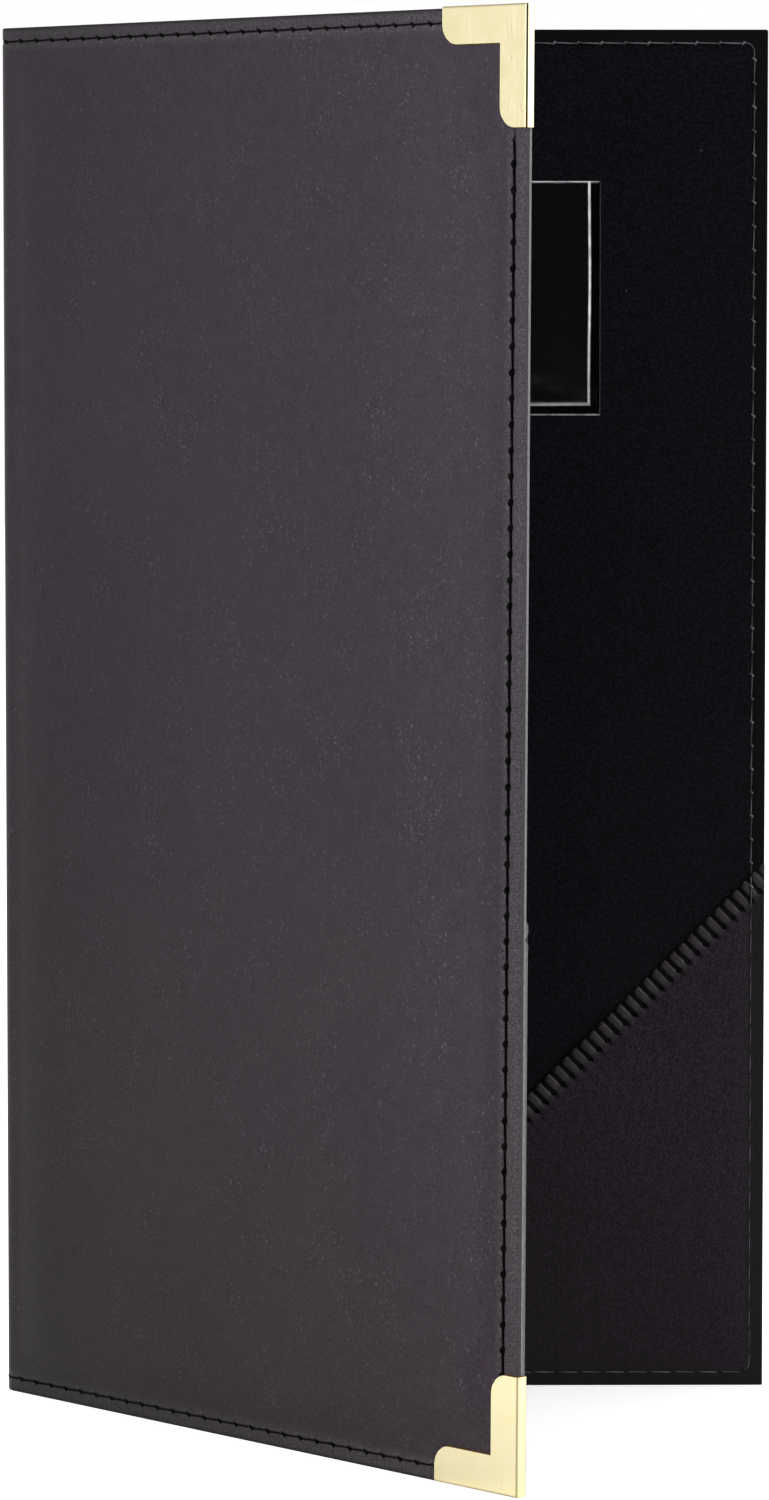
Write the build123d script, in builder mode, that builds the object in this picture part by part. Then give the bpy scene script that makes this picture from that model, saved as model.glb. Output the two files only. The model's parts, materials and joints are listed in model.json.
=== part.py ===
from build123d import *
import os
from math import cos, floor, hypot, radians, sin

# Guest check presenter: a tall leatherette folder with a stitched border, brass corner guards on
# the front cover, a slanted pocket in each cover and a clear card pocket. Millimetres, +Z up.
# It stands on its bottom edges, part open. The origin is the middle of the back cover's bottom
# edge, at mid-thickness of its skin. +X runs to that cover's free edge, and -Y is the open side.

# Overall sizes
cover_width = 140.0  # crease to free edge
cover_height = 254.0
opening_angle = 48.0  # between the two covers as it stands
corner_radius = 0.4

# Layers, from the outside in
skin_thickness = 0.8
board_thickness = 1.0
lining_thickness = 0.5
pocket_thickness = 0.4
film_thickness = 0.25

# Folds: the skin bends at two creases, with the narrow spine between them
crease_gap = 0.3  # room that each crease needs to bend
closed_clearance = 0.7  # left between the two pocket mouths when the folder is shut

# Skin formed over the board
border_width = 3.4  # flat sewn border on the three free sides
spine_border = 3.0  # flat strip beside each crease
board_slope = 3.0  # width of the slope from the border up to the board
board_room = 0.1

# Border stitching
stitch_inset = 2.5
stitch_pitch = 4.4
stitch_length = 3.0
thread_width = 0.5
thread_height = 0.2

# Brass corner guards
guard_length = 20.5
guard_arm = 6.2
guard_sheet = 0.3
guard_room = 0.05
guard_round = 3.6  # corners at the ends of its arms
guard_corner = 0.4  # outer corner

# Slanted pockets
pocket_width = 100.0
pocket_height = 99.0
rim_overlap = 0.6
pocket_slack = 0.25  # room behind the pocket
mouth_width = 3.7  # folded edge of the pocket's mouth
mouth_round = 0.3
mouth_room = 0.15  # between that folded edge and the lining

# Whipping: short over-edge stitches that pull the folded mouth into ribs
whip_pitch = 2.35
whip_length = 3.0
whip_width = 0.4
whip_height = 0.3
whip_sunk = 0.15  # the ribs stand this much above the thread between them
whip_room = 0.05  # on each side of the thread in its groove
groove_floor_thickness = 0.05  # folded leatherette left under each groove, above the pocket

# Card pocket of clear film, welded on three sides
card_width = 90.0
card_height = 43.5
card_from_edge = 31.0
card_from_top = 28.0
weld_width = 1.8
film_slack = 0.15

# Grooves of the pocket's mouth
groove_width = whip_width + 2 * whip_room
groove_depth = whip_height + whip_sunk
mouth_rise = groove_depth + groove_floor_thickness

# Levels, as distances outside the middle of the skin
skin_outer = skin_thickness / 2
skin_inner = -skin_thickness / 2
lining_inner = skin_inner - lining_thickness
pocket_rim_inner = lining_inner - pocket_thickness
pocket_inner = lining_inner - pocket_slack - pocket_thickness
mouth_inner = pocket_inner - mouth_rise
groove_floor = mouth_inner + groove_depth
film_inner = lining_inner - film_slack - film_thickness

# What follows from the sizes above
spine_width = 2 * abs(mouth_inner) + closed_clearance  # so that the shut covers lie parallel
skin_start = skin_outer + crease_gap
lining_start = abs(lining_inner) + crease_gap
guard_wrap = guard_sheet + guard_room
pocket_rim = guard_arm + 2 * guard_wrap  # sewn flat, and wide enough for the guard to grip it
mouth_length = hypot(pocket_width, pocket_height)

# The three panels: where each starts, which way it runs, and which way is outside
half_angle = radians(opening_angle / 2)
full_angle = radians(opening_angle)
up = Vector(0, 0, 1)
back_crease = Vector(-cover_width / 2, 0, 0)
spine_along = Vector(-sin(half_angle), -cos(half_angle), 0)
spine_out = Vector(-cos(half_angle), sin(half_angle), 0)
front_crease = back_crease + spine_along * spine_width
front_along = Vector(cos(full_angle), -sin(full_angle), 0)
front_out = Vector(-sin(full_angle), -cos(full_angle), 0)
panels = {
    "back": (back_crease, Vector(1, 0, 0), Vector(0, 1, 0)),
    "spine": (back_crease, spine_along, spine_out),
    "front": (front_crease, front_along, front_out),
}


def level(side, outward):
    """Sketch plane of a panel: x along it from its crease, y up, `outward` outside the skin's middle."""
    start, along, out = panels[side]
    return Plane(start + out * outward, x_dir=along, z_dir=along.cross(up))


def outside(side):
    """Direction out of a panel, away from the inside of the folder."""
    return panels[side][2]


def inside(side):
    """Direction into the folder from a panel."""
    return panels[side][2] * -1


def sheet_points(side, start):
    """Outline of a full sheet of one cover. The front one is trimmed where the lower guard wraps it."""
    if side == "back":
        return [(start, 0), (cover_width, 0), (cover_width, cover_height), (start, cover_height)]
    trim_start = cover_width - guard_length - guard_room
    return [
        (start, 0),
        (trim_start, 0),
        (trim_start, guard_wrap),
        (cover_width, guard_wrap),
        (cover_width, cover_height),
        (start, cover_height),
    ]


def panel_points(side, inset):
    """Outline of the raised panel, `inset` inside its foot. The front one steps back from the guards."""
    left = spine_border + inset
    right = cover_width - border_width - inset
    low = border_width + inset
    high = cover_height - border_width - inset
    if side == "back":
        return [(left, low), (right, low), (right, high), (left, high)]
    arm = guard_arm + guard_wrap + inset
    reach = guard_length + guard_wrap + inset
    step = cover_width - arm
    near = cover_width - reach
    return [
        (left, low),
        (near, low),
        (near, arm),
        (step, arm),
        (step, reach),
        (right, reach),
        (right, cover_height - reach),
        (step, cover_height - reach),
        (step, cover_height - arm),
        (near, cover_height - arm),
        (near, high),
        (left, high),
    ]


def cover_skin(side):
    """Outer leatherette of one cover: flat at its sewn border, raised over the board inside it."""
    with BuildPart() as skin:
        with BuildSketch(level(side, skin_inner)) as sheet:
            Polygon(*sheet_points(side, skin_start), align=None)
            fillet(sheet.vertices().sort_by(Axis.X)[-2:], corner_radius)
        extrude(amount=skin_thickness, dir=outside(side))
        with BuildSketch(level(side, skin_outer)):
            Polygon(*panel_points(side, 0), align=None)
        with BuildSketch(level(side, skin_outer + board_thickness)):
            Polygon(*panel_points(side, board_slope), align=None)
        loft(ruled=True)
        with BuildSketch(level(side, skin_inner)):
            Polygon(*panel_points(side, 0), align=None)
        with BuildSketch(level(side, skin_inner + board_thickness)):
            Polygon(*panel_points(side, board_slope), align=None)
        loft(ruled=True, mode=Mode.SUBTRACT)
    return skin


def cover_board(side):
    """Greyboard that stiffens one cover, inside the raised panel of its skin."""
    with BuildPart() as board:
        with BuildSketch(level(side, skin_inner)):
            Polygon(*panel_points(side, board_slope + board_room), align=None)
        extrude(amount=board_thickness, dir=outside(side))
    return board


def cover_lining(side):
    """Thin black sheet on the inside of one cover, cut level with the skin."""
    with BuildPart() as lining:
        with BuildSketch(level(side, lining_inner)) as sheet:
            Polygon(*sheet_points(side, lining_start), align=None)
            fillet(sheet.vertices().sort_by(Axis.X)[-2:], corner_radius)
        extrude(amount=lining_thickness, dir=outside(side))
    return lining


def mouth_plane(side, outward):
    """Plane whose x runs down the pocket's slanted mouth from the free edge, with the pocket at +y."""
    base = level(side, outward)
    start = base.from_local_coords(Vector(cover_width, pocket_height, 0))
    end = base.from_local_coords(Vector(cover_width - pocket_width, 0, 0))
    return Plane(start, x_dir=end - start, z_dir=base.z_dir)


def whip_places():
    """Centres of the over-edge stitches, on the mouth's plane. They keep clear of its two cut ends."""
    steepness = max(pocket_height / pocket_width, pocket_width / pocket_height)
    end_room = mouth_width * steepness + groove_width
    count = floor((mouth_length - 2 * end_room) / whip_pitch) + 1
    first = (mouth_length - (count - 1) * whip_pitch) / 2
    return [(first + whip_pitch * index, whip_length / 2) for index in range(count)]


def pocket(side):
    """Slanted pocket: a leatherette triangle, sewn down at its rim, with a folded, ribbed mouth."""
    triangle = [(cover_width - pocket_width, 0), (cover_width, 0), (cover_width, pocket_height)]
    mouth_line = Axis((0, 0, 0), mouth_plane(side, 0).x_dir)
    outward_line = Axis((0, 0, 0), outside(side))
    inner_width = cover_width - pocket_rim
    flat_width = inner_width - rim_overlap
    with BuildPart() as piece:
        with BuildSketch(mouth_plane(side, mouth_inner)):
            with Locations((mouth_length / 2, mouth_width / 2)):
                Rectangle(mouth_length + 2 * mouth_width, mouth_width)
        extrude(amount=lining_inner - mouth_room - mouth_inner, dir=outside(side))
        long_edges = piece.edges().filter_by(mouth_line)
        fillet(long_edges.group_by(outward_line)[0], mouth_round)
        with BuildSketch(mouth_plane(side, mouth_inner)):
            with Locations(*whip_places()):
                Rectangle(groove_width, whip_length)
        extrude(amount=groove_depth, dir=outside(side), mode=Mode.SUBTRACT)
        with BuildSketch(level(side, lining_inner)) as sheet:
            Polygon(*sheet_points(side, skin_start), align=None)
            fillet(sheet.vertices().sort_by(Axis.X)[-2:], corner_radius)
        extrude(amount=abs(mouth_inner), dir=inside(side), mode=Mode.INTERSECT)
        with BuildSketch(level(side, pocket_rim_inner)) as rim:
            Polygon(*sheet_points(side, skin_start), align=None)
            fillet(rim.vertices().sort_by(Axis.X)[-2:], corner_radius)
            Polygon(*triangle, align=None, mode=Mode.INTERSECT)
            with Locations((0, pocket_rim + rim_overlap)):
                Rectangle(flat_width, cover_height, align=(Align.MIN, Align.MIN), mode=Mode.SUBTRACT)
        extrude(amount=pocket_thickness, dir=outside(side))
        with BuildSketch(level(side, pocket_inner)):
            Polygon(*triangle, align=None)
            with Locations((0, pocket_rim)):
                Rectangle(inner_width, cover_height, align=(Align.MIN, Align.MIN), mode=Mode.INTERSECT)
        extrude(amount=pocket_thickness, dir=outside(side))
    return piece


def pocket_whipping(side):
    """Black thread whipped over a pocket's folded mouth, lying in the grooves between its ribs."""
    with BuildPart() as whipping:
        with BuildSketch(mouth_plane(side, groove_floor)):
            with Locations(*whip_places()):
                Rectangle(whip_width, whip_length - 2 * whip_room)
        extrude(amount=whip_height, dir=inside(side))
    return whipping


def border_places(side):
    """Centre and turn of each stitch round one cover's border, along its bottom, free and top edges."""
    first = lining_start + stitch_pitch / 2
    last = cover_width - stitch_inset - stitch_pitch / 2
    row_count = floor((last - first) / stitch_pitch) + 1
    column_count = floor((cover_height - 2 * stitch_inset) / stitch_pitch)
    low = (cover_height - (column_count - 1) * stitch_pitch) / 2
    places = []
    for index in range(row_count):
        places.append((first + index * stitch_pitch, stitch_inset, 0))
        places.append((first + index * stitch_pitch, cover_height - stitch_inset, 0))
    for index in range(column_count):
        places.append((cover_width - stitch_inset, low + index * stitch_pitch, 90))
    if side == "back":
        return places
    return [place for place in places if clear_of_guards(*place)]


def clear_of_guards(x, y, turn):
    """Whether a stitch of the front cover shows beside the brass guards, which hide the others."""
    reach = guard_length + guard_wrap + stitch_length / 2
    beside = x < cover_width - reach
    between = reach < y < cover_height - reach
    return beside or between


def inside_mouth(x, y):
    """Distance of a point on a cover from its pocket's mouth, positive on the pocket's side."""
    across = (x - cover_width) * pocket_height - (y - pocket_height) * pocket_width
    return across / mouth_length


def draw_stitches(places):
    """Draws one short thread at each (x, y, turn)."""
    with Locations(*[Location((x, y, 0), (0, 0, turn)) for x, y, turn in places]):
        Rectangle(stitch_length, thread_width)


def outer_stitching(side):
    """Needle thread round a cover's border, on the outside."""
    with BuildPart() as stitching:
        with BuildSketch(level(side, skin_outer)):
            draw_stitches(border_places(side))
        extrude(amount=thread_height, dir=outside(side))
    return stitching


def inner_stitching(side):
    """Bobbin thread round a cover's border, on its lining and on the rim of its pocket."""
    places = border_places(side)
    on_lining = [place for place in places if inside_mouth(*place[:2]) < -stitch_length]
    on_pocket = [place for place in places if inside_mouth(*place[:2]) > mouth_width + stitch_length]
    with BuildPart() as stitching:
        with BuildSketch(level(side, lining_inner)):
            draw_stitches(on_lining)
        extrude(amount=thread_height, dir=inside(side))
        with BuildSketch(level(side, pocket_rim_inner)):
            draw_stitches(on_pocket)
        extrude(amount=thread_height, dir=inside(side))
    return stitching


def guard_points(end, *offsets):
    """Points given by their distances inside the front cover's free edge and its `end` edge."""
    if end == "upper":
        return [(cover_width - across, cover_height - along) for across, along in offsets]
    return [(cover_width - across, guard_wrap + along) for across, along in offsets]


def corner_guard(end, stack_inner):
    """Brass L folded round a free corner of the front cover, gripping it from both faces."""
    beyond = guard_length + guard_arm
    with BuildPart() as guard:
        with BuildSketch(level("front", stack_inner - guard_wrap)) as plate:
            inner_ends = guard_points(end, (guard_length, guard_arm), (guard_arm, guard_length))
            outer_corner = guard_points(end, (-guard_wrap, -guard_wrap))
            outline = guard_points(
                end,
                (guard_length, -guard_wrap),
                (guard_length, guard_arm),
                (guard_arm, guard_arm),
                (guard_arm, guard_length),
                (-guard_wrap, guard_length),
                (-guard_wrap, -guard_wrap),
            )
            Polygon(*outline, align=None)
            fillet(pick(plate, inner_ends), guard_round)
            fillet(pick(plate, outer_corner), guard_corner)
        extrude(amount=skin_outer - stack_inner + 2 * guard_wrap, dir=outside("front"))
        with BuildSketch(level("front", stack_inner - guard_room)) as gripped:
            slot_corner = guard_points(end, (-guard_room, -guard_room))
            slot = guard_points(
                end,
                (-guard_room, -guard_room),
                (beyond, -guard_room),
                (beyond, beyond),
                (-guard_room, beyond),
            )
            Polygon(*slot, align=None)
            fillet(pick(gripped, slot_corner), corner_radius + guard_room)
        grip = skin_outer - stack_inner + 2 * guard_room
        extrude(amount=grip, dir=outside("front"), mode=Mode.SUBTRACT)
    return guard


def pick(sketch, points):
    """Vertices of a sketch that stand at the given points."""
    return [sketch.vertices().sort_by_distance(Vector(*point))[0] for point in points]


def export(piece, name):
    """Names a finished piece and writes its file."""
    piece.part.label = name
    export_step(piece.part, f"parts/{name}.step")


os.makedirs("parts", exist_ok=True)

# Both covers: the real folder's skin is one sheet, and so is its lining. Each is split here at the
# two creases, where it bends.
for side in ("front", "back"):
    export(cover_skin(side), f"{side}_cover_skin")
    export(cover_board(side), f"{side}_board")
    export(cover_lining(side), f"{side}_lining")
    export(pocket(side), f"{side}_pocket")
    export(pocket_whipping(side), f"{side}_pocket_whipping")
    export(outer_stitching(side), f"{side}_outer_stitching")
    export(inner_stitching(side), f"{side}_inner_stitching")

# The lower guard also grips the rim of the front pocket.
export(corner_guard("upper", lining_inner), "upper_corner_guard")
export(corner_guard("lower", pocket_rim_inner), "lower_corner_guard")

# Spine: a narrow strip of skin whose two rounded edges are the creases.
spine_middle = back_crease + spine_along * (spine_width / 2)
with BuildPart() as spine_skin:
    with BuildSketch(Plane(spine_middle, x_dir=spine_along, z_dir=up)):
        SlotCenterToCenter(spine_width, skin_thickness)
    extrude(amount=cover_height)
export(spine_skin, "spine_skin")

spine_lining_width = spine_width - 2 * lining_start
with BuildPart() as spine_lining:
    with BuildSketch(level("spine", lining_inner)):
        with Locations((spine_width / 2, cover_height / 2)):
            Rectangle(spine_lining_width, cover_height)
    extrude(amount=lining_thickness, dir=outside("spine"))
export(spine_lining, "spine_lining")

# The border stitching crosses the spine at its top and bottom, on both faces.
stitch_heights = (stitch_inset, cover_height - stitch_inset)
with BuildPart() as spine_stitching:
    for face, direction in ((skin_outer, outside("spine")), (lining_inner, inside("spine"))):
        with BuildSketch(level("spine", face)):
            with Locations(*[(spine_width / 2, height) for height in stitch_heights]):
                Rectangle(spine_lining_width - crease_gap, thread_width)
        extrude(amount=thread_height, dir=direction)
export(spine_stitching, "spine_stitching")

# Card pocket: clear film over the back lining, open at the top, with its other edges welded down.
card_centre = (
    cover_width - card_from_edge - card_width / 2,
    cover_height - card_from_top - card_height / 2,
)
with BuildPart() as card_pocket:
    with BuildSketch(level("back", film_inner)):
        with Locations(card_centre):
            Rectangle(card_width, card_height)
    extrude(amount=film_thickness, dir=outside("back"))
    with BuildSketch(level("back", film_inner)):
        with Locations(card_centre):
            Rectangle(card_width, card_height)
        with Locations((card_centre[0], card_centre[1] + weld_width)):
            Rectangle(card_width - 2 * weld_width, card_height, mode=Mode.SUBTRACT)
    extrude(amount=lining_inner - film_inner, dir=outside("back"))
export(card_pocket, "card_pocket")
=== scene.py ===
import json
from math import atan2, ceil, hypot, pi, radians, tan

import bpy
import numpy as np
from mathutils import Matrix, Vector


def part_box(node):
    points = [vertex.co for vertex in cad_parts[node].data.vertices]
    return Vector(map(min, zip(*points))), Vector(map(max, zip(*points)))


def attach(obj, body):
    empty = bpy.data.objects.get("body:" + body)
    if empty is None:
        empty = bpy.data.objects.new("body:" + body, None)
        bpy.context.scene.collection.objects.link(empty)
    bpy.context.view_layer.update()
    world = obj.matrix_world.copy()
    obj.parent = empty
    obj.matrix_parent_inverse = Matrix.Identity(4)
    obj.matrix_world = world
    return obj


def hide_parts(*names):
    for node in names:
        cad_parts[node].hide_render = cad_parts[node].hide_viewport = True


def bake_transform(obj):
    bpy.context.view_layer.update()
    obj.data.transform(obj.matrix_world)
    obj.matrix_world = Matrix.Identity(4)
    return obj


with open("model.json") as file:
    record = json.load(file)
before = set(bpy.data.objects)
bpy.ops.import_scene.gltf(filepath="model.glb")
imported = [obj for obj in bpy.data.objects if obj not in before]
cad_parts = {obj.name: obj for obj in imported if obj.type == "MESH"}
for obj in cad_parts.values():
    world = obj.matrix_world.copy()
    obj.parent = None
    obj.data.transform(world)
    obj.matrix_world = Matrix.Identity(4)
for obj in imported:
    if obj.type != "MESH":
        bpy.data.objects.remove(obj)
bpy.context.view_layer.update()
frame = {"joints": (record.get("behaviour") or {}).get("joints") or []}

# ------------------------------------------------------------------------------------------------
# Outer skin. One sheet of charcoal leatherette, a fine-grained vinyl on cloth, wraps the front board,
# the spine and the back board. It is formed over the boards, sewn to the lining round its border and
# cut off square outside the seam. Each half of it here runs from mid-spine to a cover's free edge.
# ------------------------------------------------------------------------------------------------
MM = 0.001
skin_outer = 0.4  # mm outside the skin's middle, as all the levels here
skin_inner = -0.4
board_rise = 0.75
bend_tangent = 2.1  # from each crease to where the sheet leaves its bend
pillow_width = 8.0  # width of the rounded step up to the board
free_pillow = 5.0  # the same beside the free edge
stitch_inset = 2.5
stitch_pitch = 4.4
seam_corner = 1.6
seam_inset = {"back": (2.5, 2.5), "front": (3.9, 2.9)}  # from the free edge, at the bottom and top
groove_depth = 0.26
groove_width = 0.27
slack_gain = 0.8  # how much looser the seam is sewn along the free edge
slack_start = 9.0  # from the free edge
slack_width = 3.0
hole_slant = -42  # degrees that the needle's cut lies across the seam
cut_press = 0.1  # how far the knife pressed the sheet's edge down
cut_press_width = 0.45
corner_radius = 0.4
guard_arm = 6.2
guard_length = 20.5
guard_wrap = 0.35
guard_clear = 7.0  # width of the slope from each guard up to the board

joints = {joint["name"]: joint for joint in frame["joints"]}
crease = {
    "back": np.array(joints["back_fold"]["pos_m"][:2]) / MM,
    "front": np.array(joints["front_fold"]["pos_m"][:2]) / MM,
}
spine = crease["front"] - crease["back"]
spine_width = hypot(*spine)
half_opening = atan2(-spine[0], -spine[1])
cover_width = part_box("back_cover_skin")[1][0] / MM - crease["back"][0]
cover_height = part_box("back_cover_skin")[1][2] / MM
flat_spine = spine_width / 2 - bend_tangent
spine_turn = pi / 2 - half_opening  # of the sheet at each crease, where the front cover doesn't warp
bend_length = bend_tangent / tan(spine_turn / 2) * spine_turn
bend_extra = flat_spine + bend_length - bend_tangent  # way round the bend past the crease
front_warp = (-0.55, 0.25)  # degrees that the soft front cover stands more shut, at its bottom and top


def on_sheet(side, u, z, out):
    """Place of a point of the folded sheet, all in mm. u is its distance from the crease along the
    cover, less than 0 on the spine; z is its height, and out how far it lies outside the skin's middle.
    From mid-spine the way is straight, then an arc of bend_radius about a centre inside the fold, then
    straight along the cover: centre + (radius + out) * normal(angle) + straight * tangent(angle). The
    front cover's direction turns evenly from bottom to top by front_warp."""
    way, z, out = np.broadcast_arrays(np.asarray(u, float) + bend_extra, z, out)
    warp = radians(front_warp[0]) + radians(front_warp[1] - front_warp[0]) * z / cover_height
    opening = 2 * half_opening - warp if side == "front" else 0 * z
    sign = -1 if side == "front" else 1
    along = np.stack([np.cos(opening), -np.sin(opening)], axis=-1)
    outward = sign * np.stack([np.sin(opening), np.cos(opening)], axis=-1)
    turn = spine_turn + (warp if side == "front" else 0 * z)
    bend_radius = (bend_tangent / np.tan(turn / 2))[..., None]
    angle = (turn * (1 - np.clip((way - flat_spine) / bend_length, 0, 1)))[..., None]
    straight = np.minimum(way - flat_spine, 0) + np.maximum(way - flat_spine - bend_length, 0)
    centre = crease[side] + along * bend_tangent - outward * bend_radius
    normal = np.cos(angle) * outward - np.sin(angle) * along
    tangent = np.cos(angle) * along + np.sin(angle) * outward
    place = centre + (bend_radius + out[..., None]) * normal + straight[..., None] * tangent
    return np.concatenate([place, z[..., None]], axis=-1)


def smooth(x):
    """0 below 0, 1 above 1, and 3x² - 2x³ between."""
    x = np.clip(x, 0, 1)
    return x * x * (3 - 2 * x)


def stations(*stops):
    """Evenly spaced places in mm: first, step, next stop, step, ... last stop."""
    places = []
    for start, step, end in zip(stops[:-2:2], stops[1::2], stops[2::2]):
        count = max(1, ceil(abs(end - start) / step - 1e-6))
        places.append(np.linspace(start, end, count, endpoint=False))
    return np.concatenate(places + [[stops[-1]]])


def seam_edge(side, z):
    """Distance of the seam from a cover's free edge at height z. The front cover was trimmed aslant."""
    bottom, top = seam_inset[side]
    return bottom + (top - bottom) * np.clip(z / cover_height, 0, 1)


seam_reach = {side: cover_width - sum(seam_inset[side]) / 2 - seam_corner for side in crease}
seam_rise = cover_height - 2 * (stitch_inset + seam_corner)
seam_quarter = seam_corner * pi / 2


def seam_place(side, u, z):
    """A sheet point's place on the border seam, a rounded U: the way along it from the crease at the
    bottom, round the free edge and back along the top, and the distance inside it."""
    low = z - stitch_inset
    high = cover_height - stitch_inset - z
    corner_u = seam_corner - (cover_width - seam_edge(side, z) - u)
    corner_z = seam_corner - np.minimum(low, high)
    beyond_u, beyond_z = np.maximum(corner_u, 0), np.maximum(corner_z, 0)
    within = seam_corner - np.hypot(beyond_u, beyond_z) - np.minimum(np.maximum(corner_u, corner_z), 0)
    reach = seam_reach[side]
    part = np.minimum(u, reach) + seam_corner * np.arctan2(beyond_u, beyond_z + 1e-9)
    total = 2 * reach + 2 * seam_quarter + seam_rise
    upright = corner_u > 0
    from_low = part + np.clip(low - seam_corner, 0, seam_rise) * upright
    from_high = part + np.clip(high - seam_corner, 0, seam_rise) * upright
    return np.where(z < cover_height / 2, from_low, total - from_high), within


def round_corners(u, z, radius):
    """Moves the points of a square grid near the two free corners onto quarter discs, by the map
    x * sqrt(1 - y²/2), y * sqrt(1 - x²/2)."""
    middle = cover_height / 2
    x = np.clip((u - cover_width + radius) / radius, 0, 1)
    y = np.clip((abs(z - middle) - middle + radius) / radius, 0, 1)
    new_u = u - radius * x * (1 - np.sqrt(1 - y * y / 2))
    new_z = z - np.sign(z - middle) * radius * y * (1 - np.sqrt(1 - x * x / 2))
    return new_u, new_z


def board_step(side, u, z):
    """How far the skin has risen over the board, 0 to 1: a smooth step in from each edge, times one
    round each brass guard's two arms."""
    edge_u = cover_width - u
    edge_z = np.minimum(z, cover_height - z)
    inset = seam_edge(side, z) + 0.5
    rise = smooth((edge_u - inset) / free_pillow) * smooth((u - 3.0) / pillow_width)
    rise = rise * smooth((edge_z - stitch_inset - 0.5) / pillow_width)
    if side == "front":
        arm, length = guard_arm + guard_wrap, guard_length + guard_wrap
        for first, second in ((edge_u, edge_z), (edge_z, edge_u)):
            beside = smooth((first - arm) / guard_clear)
            past = smooth((second - length) / guard_clear)
            rise = rise * (1 - (1 - beside) * (1 - past))
    return rise


def seam_groove(within, depth, width):
    """Depth of the groove that the tight thread pulls, a bell curve across the seam."""
    return depth * np.exp(-((within / width) ** 2))


def seam_slack(u):
    """How loosely the seam is sewn: 1, and by a smooth step slack_gain more along the free edge."""
    return 1 + slack_gain * smooth((u - cover_width + slack_start) / slack_width)


def painted_light_scale(u, z):
    """How bright the skin's colour is painted, as a share of its tint. This is painted light: even slopes
    brighter towards the free edge and the top, plus smooth steps paler along the fold and in a band 100
    to 136 mm out from the crease. Near the bottom and top edges it falls to a tenth of that, a line of
    painted shade."""
    lit_slope = 0.35 + 0.58 * np.clip(u / cover_width, 0, 1) + 0.14 * np.clip(z / cover_height, 0, 1)
    fold_light = 0.15 * (1 - smooth(u / 6))
    lit_band = 0.09 * smooth((u - 100) / 20) * (1 - smooth((u - 132) / 4))
    rim = 0.1 + 0.9 * smooth((np.minimum(z, cover_height - z) - 0.2) / 0.4)
    return (lit_slope + fold_light + lit_band) * rim


sharp_angle = radians(50)  # an edge that turns by more than this is drawn sharp


def add_mesh(name, points, faces, sheet=None, slots=None):
    """A mesh object from points in mm and quads. sheet gives each point's two numbers for the UV map
    named sheet, and slots each face's material slot."""
    mesh = bpy.data.meshes.new(name)
    mesh.vertices.add(len(points))
    mesh.vertices.foreach_set("co", (points * MM).ravel())
    mesh.loops.add(faces.size)
    mesh.loops.foreach_set("vertex_index", faces.ravel())
    mesh.polygons.add(len(faces))
    mesh.polygons.foreach_set("loop_start", np.arange(0, faces.size, faces.shape[1]))
    mesh.polygons.foreach_set("loop_total", np.full(len(faces), faces.shape[1]))
    mesh.update(calc_edges=True)
    mesh.validate()
    if sheet is not None:
        mesh.uv_layers.new(name="sheet").uv.foreach_set("vector", sheet[faces.ravel()].ravel())
    if slots is not None:
        mesh.polygons.foreach_set("material_index", slots)
    mesh.polygons.foreach_set("use_smooth", np.ones(len(faces), bool))
    mesh.set_sharp_from_angle(angle=sharp_angle)
    piece = bpy.data.objects.new(name, mesh)
    bpy.context.scene.collection.objects.link(piece)
    return piece


def quads(index):
    """The faces of a grid of point numbers."""
    corners = (index[:-1, :-1], index[:-1, 1:], index[1:, 1:], index[1:, :-1])
    return np.stack(corners, axis=-1).reshape(-1, 4)


def slab(name, outer, inner, sheet=None, kept=True):
    """A closed sheet between two grids of points: its two faces in slot 0, and its cut edge in slot 1,
    which runs along each side of a kept cell that no other kept cell shares."""
    count = outer[..., 0].size
    face = quads(np.arange(count).reshape(outer.shape[:2]))
    face = face[np.broadcast_to(kept, len(face))]
    sides = np.stack([face, np.roll(face, -1, axis=1)], axis=-1).reshape(-1, 2)
    free = ~np.isin(sides @ [1, count], sides @ [count, 1])
    start, end = sides[free].T
    edge = np.stack([end, start, start + count, end + count], axis=-1)
    faces = np.concatenate([face, face[:, ::-1] + count, edge])
    points = np.concatenate([outer.reshape(-1, 3), inner.reshape(-1, 3)])
    middle = face[len(face) // 2]
    normal = np.cross(points[middle[2]] - points[middle[0]], points[middle[3]] - points[middle[1]])
    if normal @ (points[middle[0]] - points[middle[0] + count]) < 0:
        faces = faces[:, ::-1]
    slots = np.repeat([0, 1], [2 * len(face), len(edge)])
    if sheet is not None:
        sheet = np.concatenate([sheet.reshape(-1, 2)] * 2)
    used, faces = np.unique(faces, return_inverse=True)
    if sheet is not None:
        sheet = sheet[used]
    return add_mesh(name, points[used], faces.reshape(-1, 4), sheet, slots)


def mark(piece, **marks):
    """Gives a slab's points the numbers that its material reads, alike on its outer and inner grid."""
    for name, values in marks.items():
        values = np.concatenate([values.ravel()] * 2)
        piece.data.attributes.new(name, "FLOAT", "POINT").data.foreach_set("value", values)


def linear(code):
    """An sRGB hex colour as linear RGBA."""
    values = np.array([int(code[i : i + 2], 16) for i in (1, 3, 5)]) / 255
    values = np.where(values <= 0.04045, values / 12.92, ((values + 0.055) / 1.055) ** 2.4)
    return (*values.tolist(), 1.0)


def new_material(name):
    """An empty node material, with its Principled shader."""
    material = bpy.data.materials.new(name)
    material.use_nodes = True
    return material, material.node_tree.nodes["Principled BSDF"]


def add_node(material, kind, inputs=(), **settings):
    """Adds a shader node. Each of its inputs, by name or number, takes a value or another output."""
    node = material.node_tree.nodes.new("ShaderNode" + kind)
    for name, value in settings.items():
        setattr(node, name, value)
    join(material, node, dict(inputs))
    return node


def join(material, node, inputs):
    """Sets a node's inputs to values, or links them to outputs."""
    for name, value in inputs.items():
        if isinstance(value, bpy.types.NodeSocket):
            material.node_tree.links.new(value, node.inputs[name])
        else:
            node.inputs[name].default_value = value


def per_metre(size):
    """The scale that makes a pattern's cell this many mm wide."""
    return 1 / (size * MM)


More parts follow.
